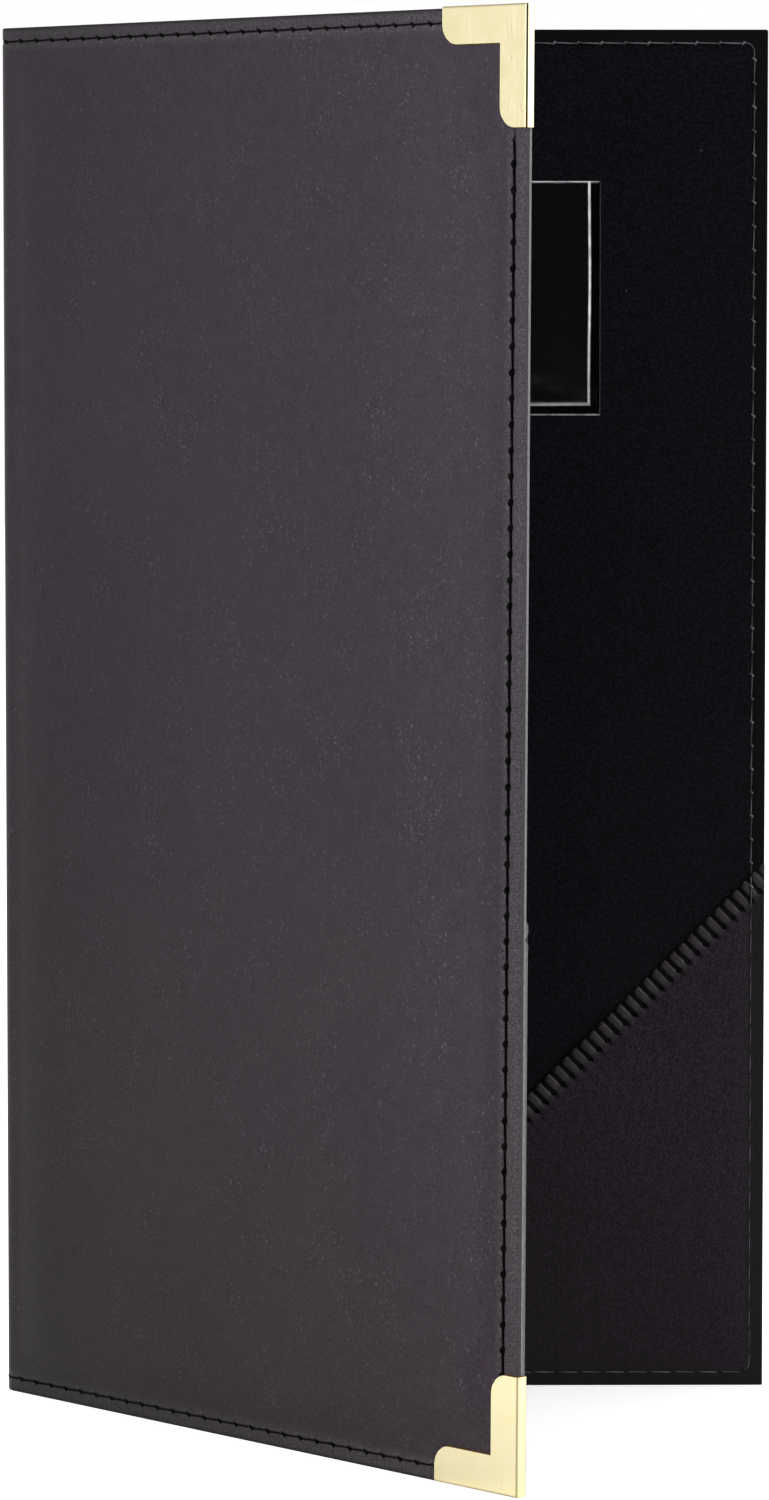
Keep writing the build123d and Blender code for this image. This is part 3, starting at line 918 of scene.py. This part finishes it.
for side in ("front", "back"):
    pocket(side)

# ------------------------------------------------------------------------------------------------
# Pocket whipping. Black thread goes over and over each pocket's folded mouth, down into a needle
# hole on the pocket's side. Each turn lies in the notch that it pulls.
# ------------------------------------------------------------------------------------------------
whip_radius = 0.2
whip_end = mouth_width - 0.3
whip_margin = 6.5  # of the mouth left bare at each end
tube_end = 0.02  # share of its radius to which a thread is drawn in at each end


def tubes(paths, radius, sides):
    """Thread tubes along many short paths at once, (threads, points, 3) in mm: rings of `sides` points
    about each path point, square to the path, and drawn in almost to a point at both ends. radius is
    one number, or one for each path point."""
    step = np.gradient(paths, axis=1)
    step /= np.linalg.norm(step, axis=-1, keepdims=True)
    aside = np.cross(step, [0.31, 0.17, 0.93])
    aside /= np.linalg.norm(aside, axis=-1, keepdims=True)
    above = np.cross(step, aside)
    angle = np.linspace(0, 2 * pi, sides, endpoint=False)[:, None]
    spread = radius * np.ones(paths.shape[:2])
    spread[:, [0, -1]] *= tube_end
    ring = np.cos(angle) * aside[:, :, None] + np.sin(angle) * above[:, :, None]
    points = paths[:, :, None] + ring * spread[:, :, None, None]
    threads, rings = paths.shape[:2]
    index = np.arange(threads * rings * sides).reshape(threads, rings, sides)
    index = np.concatenate([index, index[:, :, :1]], axis=2)
    corners = (index[:, :-1, :-1], index[:, :-1, 1:], index[:, 1:, 1:], index[:, 1:, :-1])
    faces = np.stack(corners, axis=-1).reshape(-1, 4)
    return points.reshape(-1, 3), faces


def black_thread(name, deep, pale, roughness, shine):
    """Bonded polyester sewing thread, black: filaments twisted about 1.5 turns per mm, whose slant
    shows as fine ribs in a deep and a paler tone, the paler one a painted sheen, with a waxed sheen."""
    material, shader = new_material(name)
    place = add_node(material, "TexCoord").outputs["Object"]
    twist = add_node(
        material,
        "TexWave",
        {"Vector": place, "Scale": per_metre(0.65) / 20, "Distortion": 1.5, "Detail": 1.0},
        bands_direction="DIAGONAL",
    )
    tone = add_node(
        material,
        "Mix",
        {FACTOR: twist.outputs[1], COLOUR_A: linear(deep), COLOUR_B: linear(pale)},
        data_type="RGBA",
    )
    bump = add_node(material, "Bump", {"Strength": 0.4, "Distance": 0.00006, "Height": twist.outputs[1]})
    join(
        material,
        shader,
        {
            "Base Color": tone.outputs[MIXED],
            "Roughness": roughness,
            "Normal": bump.outputs[0],
            "Specular IOR Level": shine,
        },
    )
    return material


whip_thread = black_thread("black_whipping_thread", "#020202", "#0a090a", 0.6, 0.1)


def whipping(side):
    """The turns of thread over one pocket's mouth, each from behind the fold over its edge and along
    the notch to the needle hole."""
    count = int((mouth_length - 2 * whip_margin) / whip_pitch)
    s = mouth_length / 2 + whip_pitch * (np.arange(count) - (count - 1) // 2)
    t = np.array([0.62, 0.3, 0.2, 0.32, 0.8, 1.6, 2.4, whip_end - 0.2, whip_end])
    h = np.array([0.12, 0.25, 0.5, 0.62, 0.66, 0.64, 0.6, 0.5, 0.25])
    s, t = np.broadcast_arrays(s[:, None], t)
    u, z = pocket_place(s, t)
    points, faces = tubes(on_lining(side, u, z, h), whip_radius, 6)
    piece = add_mesh(f"{side}_mouth_whipping", points, faces)
    piece.data.materials.append(whip_thread)
    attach(piece, f"{side}_cover")
    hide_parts(f"{side}_pocket_whipping")


for side in ("front", "back"):
    whipping(side)

# ------------------------------------------------------------------------------------------------
# Border seam. A lockstitch of black polyester runs round each cover and over the spine. The needle
# thread lies in its groove outside. The bobbin thread lies inside, with a bright knot at each hole.
# ------------------------------------------------------------------------------------------------
thread_radius = 0.08
thread_rise = 0.2  # of a needle stitch between its holes
stitch_slant = 0.16
loop_radius = 0.4
loop_reach = (0.8, -0.5)  # along and across the seam, from a needle hole to its loop's end
loop_sink = 0.3
bobbin_radius = 0.12
bobbin_rise = 0.12
knot_radius = 0.24
knot_rise = 0.2
knot_reach = (0.4, 0.42)


def seam_point(side, way, within):
    """Inverse of seam_place: the sheet point at a place along the border seam."""
    reach = seam_reach[side]
    ends = np.cumsum([reach, seam_quarter, seam_rise, seam_quarter])
    first_turn = np.clip((way - ends[0]) / seam_corner, 0, pi / 2)
    second_turn = np.clip((way - ends[2]) / seam_corner, 0, pi / 2)
    climbed = np.clip(way - ends[1], 0, seam_rise)
    angle = first_turn + second_turn
    corner_z = stitch_inset + seam_corner + climbed
    z = corner_z - (seam_corner - within) * np.cos(angle)
    edge = sum(seam_inset[side]) / 2 - seam_edge(side, z)
    u = np.where(way < ends[3], np.minimum(way, reach), reach - (way - ends[3]))
    u = u + ((seam_corner - within) + edge) * np.sin(angle) * (angle > 0)
    return u, z


def shows(side, u, z):
    """Whether a stitch isn't hidden under a brass guard."""
    if side == "back":
        return np.ones(u.shape, bool)
    reach = guard_length + 0.3
    return (u < cover_width - reach) | (abs(z - cover_height / 2) < cover_height / 2 - reach)


def stitch_ways(side):
    """Where each stitch starts along the seam, and its length: one pitch, less where mid-spine cuts it."""
    end = 2 * seam_reach[side] + 2 * seam_quarter + seam_rise + bend_extra
    ways = stitch_pitch * np.arange(ceil(-bend_extra / stitch_pitch) - 1, end / stitch_pitch)
    starts, ends = np.maximum(ways, -bend_extra), np.minimum(ways + stitch_pitch, end)
    u, z = seam_point(side, ways + stitch_pitch / 2, 0.0)
    kept = shows(side, u, z) & (ends - starts > 0.8)
    return starts[kept][:, None], (ends - starts)[kept][:, None]


def needle_thread(side):
    """Outside stitches: each leaves one hole, crosses the seam at a slant and sinks into the next. It
    lies in the groove, and rises by the root of sin(pi * share) between the holes. Thread and loops are
    thicker where the seam is slack."""
    ways, length = stitch_ways(side)
    share = np.array([0.06, 0.12, 0.25, 0.5, 0.75, 0.88, 0.94])
    within = stitch_slant * (2 * share - 1) * np.ones_like(ways)
    u, z = seam_point(side, ways + share * length, within)
    level = skin_outer - groove_depth - 0.02 + thread_rise * np.sin(pi * share) ** 0.5
    threads, faces = tubes(on_sheet(side, u, z, level), thread_radius * seam_slack(u) ** 1.5, 6)
    # The loop at each needle hole: a short thick turn, aslant the other way.
    turn_share = np.linspace(-1, 1, 5)
    hole = ways[ways > -bend_extra][:, None]
    u, z = seam_point(side, hole + loop_reach[0] * turn_share, loop_reach[1] * turn_share)
    level = np.full(u.shape, skin_outer - loop_sink)
    thickness = loop_radius * np.sqrt(1.02 - turn_share**2) * seam_slack(u)
    loops, loop_faces = tubes(on_sheet(side, u, z, level), thickness, 6)
    points = np.concatenate([threads, loops])
    return add_mesh(f"{side}_needle_thread", points, np.concatenate([faces, loop_faces + len(threads)]))


def inner_surface(side, u, z):
    """Height above the lining of what the seam crosses inside: lining, pocket rim or folded mouth."""
    s = (cover_width - u) * -down_mouth[0] + (pocket_height - z) * -down_mouth[1]
    t = (u - cover_width) * into_pocket[0] + (z - pocket_height) * into_pocket[1]
    on_mouth = mouth_height * smooth((t + 0.3) / 0.6) * (1 - smooth((t - drop_start) / drop_width))
    return np.maximum(on_mouth, rim_height * smooth(t / 0.4)) * (s > 0)


def bobbin_thread(side):
    """Inside stitches, tighter and straighter, and the small knot beside each hole. Both sink a little
    into the pocket where they cross it. A stitch rises as an outside one does, a knot by 1 - turn²."""
    ways, length = stitch_ways(side)
    share = np.array([0.04, 0.1, 0.3, 0.5, 0.7, 0.9, 0.96])
    within = -0.4 * stitch_slant * (2 * share - 1) * np.ones_like(ways)
    u, z = seam_point(side, ways + share * length, within)
    base = inner_surface(side, u, z)
    sunk = 0.08 * smooth(base / 0.3)
    height = base - sunk - 0.07 + bobbin_rise * np.sin(pi * share) ** 0.5
    threads, faces = tubes(on_lining(side, u, z, height), bobbin_radius, 6)
    turn_share = np.linspace(-1, 1, 5)
    hole = ways[ways > -bend_extra][:, None]
    u, z = seam_point(side, hole + knot_reach[0] * turn_share, knot_reach[1] * turn_share)
    base = inner_surface(side, u, z)
    height = base - 0.4 * smooth(base / 0.3) + knot_rise * (1 - turn_share**2)
    knots, knot_faces = tubes(on_lining(side, u, z, height), knot_radius, 6)
    points = np.concatenate([threads, knots])
    return add_mesh(f"{side}_bobbin_thread", points, np.concatenate([faces, knot_faces + len(threads)]))


needle = black_thread("black_needle_thread", "#020202", "#0c0b0c", 0.9, 0.05)
# The bobbin thread's paler tone is painted sheen, which makes the inside stitches and knots read grey.
bobbin = black_thread("waxed_bobbin_thread", "#1c1c1e", "#545357", 0.32, 0.6)
for side in ("front", "back"):
    outside_stitches, inside_stitches = needle_thread(side), bobbin_thread(side)
    outside_stitches.data.materials.append(needle)
    inside_stitches.data.materials.append(bobbin)
    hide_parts(f"{side}_outer_stitching", "spine_stitching")
    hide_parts(f"{side}_inner_stitching")
    for piece in (outside_stitches, inside_stitches):
        bend_with_fold(piece, side)

# ------------------------------------------------------------------------------------------------
# Corner guards. Two brass Ls, blanked from bright 0.3 mm sheet, folded round the front cover's free
# corners and pressed on, one up and one down. The lower one also grips the pocket's rim.
# ------------------------------------------------------------------------------------------------
guard_sheet = 0.3
guard_bend = 0.45
guard_end_round = 3.6
guard_burr = 0.16  # how far the shear leaves the sheet's inner face standing past its outer one
guard_edge = 0.06  # width of the bevel that finishes its sheared edges


def bright_brass():
    """Pale bright brass plate, rolled, polished and lacquered: almost a mirror, with a faint cloudy
    stain and a few hair scratches from handling."""
    material, shader = new_material("bright_brass_plate")
    place = add_node(material, "TexCoord").outputs["Object"]
    stain = add_node(material, "TexNoise", {"Vector": place, "Scale": per_metre(4), "Detail": 4.0})
    tone = add_node(
        material,
        "Mix",
        {FACTOR: stain.outputs[0], COLOUR_A: linear("#f8ebb5"), COLOUR_B: linear("#fcf2cb")},
        data_type="RGBA",
    )
    # Scratches: the thin bounds between long cells that lie aslant.
    drawn = add_node(
        material, "Mapping", {"Vector": place, "Rotation": (0.35, 1.25, 0.2), "Scale": (1, 1, 0.09)}
    )
    cells = add_node(
        material,
        "TexVoronoi",
        {"Vector": drawn.outputs[0], "Scale": per_metre(2.4)},
        feature="DISTANCE_TO_EDGE",
    )
    line = add_node(material, "MapRange", {0: cells.outputs["Distance"], 1: 0.0, 2: 0.022, 3: 1.0, 4: 0.0})
    patch = add_node(material, "MapRange", {0: stain.outputs[0], 1: 0.54, 2: 0.62, 3: 0.0, 4: 0.5})
    scratch = add_node(material, "Math", {0: line.outputs[0], 1: patch.outputs[0]}, operation="MULTIPLY")
    scratched = add_node(
        material,
        "Mix",
        {FACTOR: scratch.outputs[0], COLOUR_A: tone.outputs[MIXED], COLOUR_B: linear("#cdb880")},
        data_type="RGBA",
    )
    # Painted shade: the brass is painted a dark olive gold along the bends, standing in for the dark that the
    # rounded folds mirror.
    folded = add_node(material, "Attribute", attribute_name="folded")
    bend_shade = add_node(
        material,
        "Mix",
        {FACTOR: folded.outputs["Fac"], COLOUR_A: scratched.outputs[MIXED], COLOUR_B: linear("#6b5a34")},
        data_type="RGBA",
    )
    rough = add_node(material, "MapRange", {0: stain.outputs[0], 1: 0.35, 2: 0.7, 3: 0.16, 4: 0.24})
    join(
        material,
        shader,
        {"Base Color": bend_shade.outputs[MIXED], "Metallic": 1.0, "Roughness": rough.outputs[0]},
    )
    return material


def sheared_brass():
    """The plate's own edge, sheared through: bare, deeper gold with a drag of fine lines, painted darker
    still as the shade along the plate's outline.
    """
    material, shader = new_material("sheared_brass_edge")
    place = add_node(material, "TexCoord").outputs["Object"]
    drag = add_node(material, "TexNoise", {"Vector": place, "Scale": per_metre(0.3), "Detail": 2.0})
    tone = add_node(
        material,
        "Mix",
        {FACTOR: drag.outputs[0], COLOUR_A: linear("#6e4a14"), COLOUR_B: linear("#b98a3a")},
        data_type="RGBA",
    )
    join(material, shader, {"Base Color": tone.outputs[MIXED], "Metallic": 1.0, "Roughness": 0.4})
    return material


def guard_profile(stack_inner):
    """Middle line of the folded sheet, and its normal, as distance inside the edge and level: in
    along the outer plate, round a bend, across the edge, round a bend and out along the inner plate."""
    radius = guard_bend - guard_sheet / 2
    top = skin_outer + guard_wrap - guard_sheet / 2
    bottom = stack_inner - guard_wrap + guard_sheet / 2
    plate = stations(guard_arm, 0.1, guard_arm - 0.4, 0.8, guard_bend - guard_wrap)
    side = -guard_wrap + guard_sheet / 2
    angle = np.linspace(0, pi / 2, 8)
    corner_d = side + radius
    d = [plate, corner_d - radius * np.sin(angle), corner_d - radius * np.cos(angle), plate[::-1]]
    level = [
        np.full(len(plate), top),
        top - radius + radius * np.cos(angle),
        bottom + radius - radius * np.sin(angle),
        np.full(len(plate), bottom),
    ]
    d, level = np.concatenate(d), np.concatenate(level)
    normal_d = np.concatenate([np.zeros(len(plate)), -np.sin(angle), -np.cos(angle), np.zeros(len(plate))])
    normal_level = np.concatenate(
        [np.ones(len(plate)), np.cos(angle), -np.sin(angle), -np.ones(len(plate))]
    )
    return d, level, normal_d, normal_level


def guard(end, stack_inner):
    """A folded L: the profile is carried from one arm's end to the mitre at the corner and on to the
    other arm's end. Each plate's inner end corner is rounded by guard_end_round, and its sheared edge
    slopes out by guard_burr. Its points carry how far they lie round a bend."""
    d, level, normal_d, normal_level = (part[:, None] for part in guard_profile(stack_inner))
    rounding = np.clip(d - guard_arm + guard_end_round, 0, guard_end_round)
    arm_end = guard_length - guard_end_round + np.sqrt(guard_end_round**2 - rounding**2)
    share = 1 - (1 - np.linspace(0, 1, 15)) ** 1.5
    share = np.concatenate([[0, 0.005], share[1:]])
    # The lower guard stands on the table. So do the sheets, which aren't pared for it, and their edge
    # runs up to 0.15 mm into the brass.
    edge_z = cover_height if end == "upper" else guard_wrap
    up = -1 if end == "upper" else 1
    layers = []
    for offset, burr in ((guard_sheet / 2, 0.0), (-guard_sheet / 2, guard_burr)):
        inside = d + offset * normal_d
        inside[[0, -1]] += burr
        far = arm_end + burr + (inside - arm_end - burr) * share
        near = np.broadcast_to(inside, far.shape)
        u = cover_width - np.concatenate([near, far[:, -2::-1]], axis=1)
        z = edge_z + up * np.concatenate([far, near[:, 1:]], axis=1)
        layers.append(on_sheet("front", u, z, level + offset * normal_level))
    piece = slab(f"{end}_brass_guard", *layers)
    # folded tells the material how far round a bend each point lies, where the brass is painted darker as
    # shade.
    mark(piece, folded=np.broadcast_to(3 * (normal_d * normal_level) ** 2, layers[0].shape[:2]))
    piece.data.materials.append(brass)
    piece.data.materials.append(brass_edge)
    edge = piece.modifiers.new("sheared_edges", "BEVEL")
    edge.width = guard_edge * MM
    edge.segments = 2
    edge.material = 1
    edge.limit_method = "ANGLE"
    edge.angle_limit = sharp_angle
    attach(piece, "front_cover")
    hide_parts(f"{end}_corner_guard")


brass = bright_brass()
brass_edge = sheared_brass()
pocket_rim_inner = lining_inner - pocket_thickness
guard("upper", lining_inner)
guard("lower", pocket_rim_inner)

# ------------------------------------------------------------------------------------------------
# Card pocket. A window of clear vinyl film on the back cover's lining, welded down along its sides
# and bottom with a flat black-looking seam, and open at the top.
# ------------------------------------------------------------------------------------------------
card_low, card_high = (np.array(corner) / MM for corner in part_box("card_pocket"))
card_left = card_low[0] - crease["back"][0]
card_right = card_high[0] - crease["back"][0]
weld_width = 1.8
film_thickness = 0.1
film_swell = 0.4
film_rise = 0.7  # width of the swell's steep foot
bead_height = 0.12
film_gap = 0.01  # between lining and film


def clear_film():
    """Plasticised clear vinyl: soft and glossy, with slow ripples. The welding iron pressed it thin and
    dark against the lining. Highlights are painted on it as white, almost opaque lines beside the weld,
    at the cut edges and at the lip, where its slopes and edges catch the light."""
    material, shader = new_material("clear_vinyl_film")
    place = add_node(material, "TexCoord").outputs["Object"]
    ripple = add_node(material, "TexNoise", {"Vector": place, "Scale": per_metre(9), "Detail": 2.0})
    streak = add_node(material, "TexNoise", {"Vector": place, "Scale": per_metre(2.5), "Detail": 3.0})
    welded = add_node(material, "Attribute", attribute_name="welded")
    stressed = add_node(material, "Attribute", attribute_name="stressed")
    uneven = add_node(material, "MapRange", {0: streak.outputs[0], 1: 0.3, 2: 0.7, 3: 0.6, 4: 1.3})
    # The painted highlight, made uneven by the streaks.
    painted_highlight = add_node(
        material,
        "Math",
        {0: stressed.outputs["Fac"], 1: uneven.outputs[0]},
        operation="MULTIPLY",
        use_clamp=True,
    )
    clear = add_node(
        material,
        "Mix",
        {FACTOR: welded.outputs["Fac"], COLOUR_A: linear("#dcdce2"), COLOUR_B: linear("#26262a")},
        data_type="RGBA",
    )
    tone = add_node(
        material,
        "Mix",
        {FACTOR: painted_highlight.outputs[0], COLOUR_A: clear.outputs[MIXED], COLOUR_B: linear("#f0f0f4")},
        data_type="RGBA",
    )
    through = add_node(material, "MapRange", {0: painted_highlight.outputs[0], 1: 0.0, 2: 1.0, 3: 1.0, 4: 0.1})
    bump = add_node(material, "Bump", {"Strength": 0.15, "Distance": 0.0006, "Height": ripple.outputs[0]})
    join(
        material,
        shader,
        {
            "Base Color": tone.outputs[MIXED],
            "Roughness": 0.06,
            "Transmission Weight": through.outputs[0],
            "IOR": 1.48,
            "Normal": bump.outputs[0],
        },
    )
    return material


def film():
    """The window: its levels from the distance to the welded edges. Inside the weld the film swells by a
    smooth step, with a round bead, exp(-(distance/width)²), at the weld's outer side and at the lip.
    Its points carry how far they are welded, and how strongly a highlight is painted on them: beside
    the weld, most of all high up its sides, along the bottom's cut edge and at the lip."""
    edge = (0, 0.07, 0.6, 0.3, weld_width - 0.2, 0.07, weld_width + 0.9, 0.6, 5)
    u = np.concatenate([card_left + stations(*edge, 5.0, 45), card_right - stations(*edge, 5.0, 45)[-2::-1]])
    top = card_high[2] - stations(0, 0.06, 1.2, 1.0, 3)[::-1]
    z = np.concatenate([card_low[2] + stations(*edge, 2.0, top[0] - card_low[2])[:-1], top])
    u, z = np.meshgrid(u, z)
    aside, above = np.minimum(u - card_left, card_right - u), z - card_low[2]
    inside = np.minimum(aside, above)
    waver = 0.05 * np.sin(z / 5.3) + 0.04 * np.sin(u / 3.7 + z / 9.1)
    swell = film_swell * smooth((inside - weld_width + waver) / film_rise)
    from_lip = card_high[2] - z
    bead = np.exp(-(((inside - 0.2) / 0.16) ** 2))
    lip_bead = np.exp(-(((from_lip - 0.15) / 0.12) ** 2)) * (inside > 0.3)
    height = film_gap + swell + film_thickness
    front = on_lining("back", u, z, height + bead_height * (bead + lip_bead))
    behind = on_lining("back", u, z, film_gap + swell)
    welded = 1 - smooth((inside - weld_width + 0.1) / 0.2)
    by_weld = np.exp(-(((inside - weld_width - 0.25 + waver) / 0.24) ** 4))
    by_cut = np.exp(-(((inside - 0.18) / 0.14) ** 4)) * np.where(above < aside, 0.6, 0.07)
    by_lip = (from_lip < 0.22) * (aside > 0.3) * 0.8
    # The painted highlight beside the weld grows up the sides.
    painted_light_mask = 0.4 + 0.5 * smooth((above / (card_high[2] - card_low[2]) - 0.1) / 0.35)
    highlight_share = np.where(above < aside, 0.5, painted_light_mask)
    stressed = np.maximum(np.maximum(by_weld * highlight_share, by_cut), by_lip)
    piece = slab("card_window", behind, front)
    mark(piece, welded=welded, stressed=stressed)
    piece.data.materials.append(clear_film())
    piece.data.materials.append(piece.data.materials[0])
    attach(piece, "back_cover")
    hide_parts("card_pocket")


film()

# ------------------------------------------------------------------------------------------------
# Studio. A white table that runs out to a white surround, two large softboxes left and right and a
# weaker one above. The side towards the camera is unlit, and the lining and the brass folds mirror it.
# ------------------------------------------------------------------------------------------------
scene = bpy.context.scene
scene.view_settings.view_transform = "Standard"


def pale_table():
    """Matt white laminate. Seen directly it is lifted to the white of the surround, and less so where
    something glossy mirrors it. It keeps the folder's shadow."""
    material, shader = new_material("white_table")
    place = add_node(material, "TexCoord").outputs["Object"]
    speckle = add_node(material, "TexNoise", {"Vector": place, "Scale": per_metre(1.5)})
    tone = add_node(
        material,
        "Mix",
        {FACTOR: speckle.outputs[0], COLOUR_A: linear("#f0f0f0"), COLOUR_B: linear("#f6f6f6")},
        data_type="RGBA",
    )
    path = add_node(material, "LightPath")
    mirrored = add_node(material, "Math", {0: path.outputs["Is Glossy Ray"], 1: 0.25}, operation="MULTIPLY")
    lift = add_node(
        material,
        "Math",
        {0: path.outputs["Is Camera Ray"], 1: 0.55, 2: mirrored.outputs[0]},
        operation="MULTIPLY_ADD",
    )
    join(
        material,
        shader,
        {
            "Base Color": tone.outputs[MIXED],
            "Roughness": 0.7,
            "Emission Color": (1, 1, 1, 1),
            "Emission Strength": lift.outputs[0],
        },
    )
    return material


table_radius = 4000.0
table_drop = 0.01  # below the folder, so that their faces don't share a plane


def table_top():
    """A flat disc under the folder: a fan of rings about the origin."""
    angle = np.linspace(0, 2 * pi, 96, endpoint=False)
    rings = np.array([1.0, 300.0, 1500.0, table_radius])[:, None]
    points = np.stack([rings * np.cos(angle), rings * np.sin(angle), 0 * rings * angle - table_drop], axis=-1)
    index = np.arange(points[..., 0].size).reshape(points.shape[:2])
    top = add_mesh("table", points.reshape(-1, 3), quads(np.concatenate([index, index[:, :1]], axis=1)))
    top.data.flip_normals()
    top.data.materials.append(pale_table())


table_top()

world = bpy.data.worlds.new("studio")
world.use_nodes = True
scene.world = world
background = world.node_tree.nodes["Background"]
direction = add_node(world, "TexCoord").outputs["Generated"]
toward = add_node(world, "SeparateXYZ", {0: direction})
unlit_side = add_node(world, "MapRange", {0: toward.outputs[1], 1: -0.9, 2: -0.5, 3: 0.03, 4: 0.9})
seen = add_node(world, "LightPath").outputs["Is Camera Ray"]
strength = add_node(world, "Mix", {0: seen, 2: unlit_side.outputs[0], 3: 1.0}, data_type="FLOAT")
join(world, background, {"Color": (1, 1, 1, 1), "Strength": strength.outputs[0]})


def softbox(name, place, aim, width, height, radiance):
    """An area lamp that shines with the given radiance towards a point, all in mm."""
    lamp = bpy.data.lights.new(name, "AREA")
    lamp.shape = "RECTANGLE"
    lamp.size, lamp.size_y = width * MM, height * MM
    lamp.energy = radiance * pi * lamp.size * lamp.size_y
    holder = bpy.data.objects.new(name, lamp)
    scene.collection.objects.link(holder)
    place, aim = np.array(place) * MM, np.array(aim) * MM
    holder.location = place
    across, back = hypot(*(place - aim)[:2]), place - aim
    holder.rotation_euler = (atan2(across, back[2]), 0, atan2(back[0], -back[1]))


softbox("left_softbox", (-900, -520, 520), (-20, -40, 130), 700, 900, 1.6)
softbox("right_softbox", (950, -160, 420), (20, -40, 130), 700, 900, 1.9)
softbox("top_softbox", (0, 100, 1200), (0, 0, 100), 900, 900, 1.0)

# The camera stands about 1.2 m off at the height of the upper third, a little to the left.
camera_place = (-11.7, -1160.8, 209.1)
camera_pitch = -4.39  # degrees, down
camera_yaw = -0.52
focal_pixels = 6221
image_height = 1500
camera = bpy.data.objects.new("camera", bpy.data.cameras.new("camera"))
scene.collection.objects.link(camera)
camera.location = np.array(camera_place) * MM
camera.rotation_euler = (radians(90 + camera_pitch), 0, radians(camera_yaw))
camera.data.lens = camera.data.sensor_width * focal_pixels / image_height
camera.data.clip_start = 0.05
scene.camera = camera
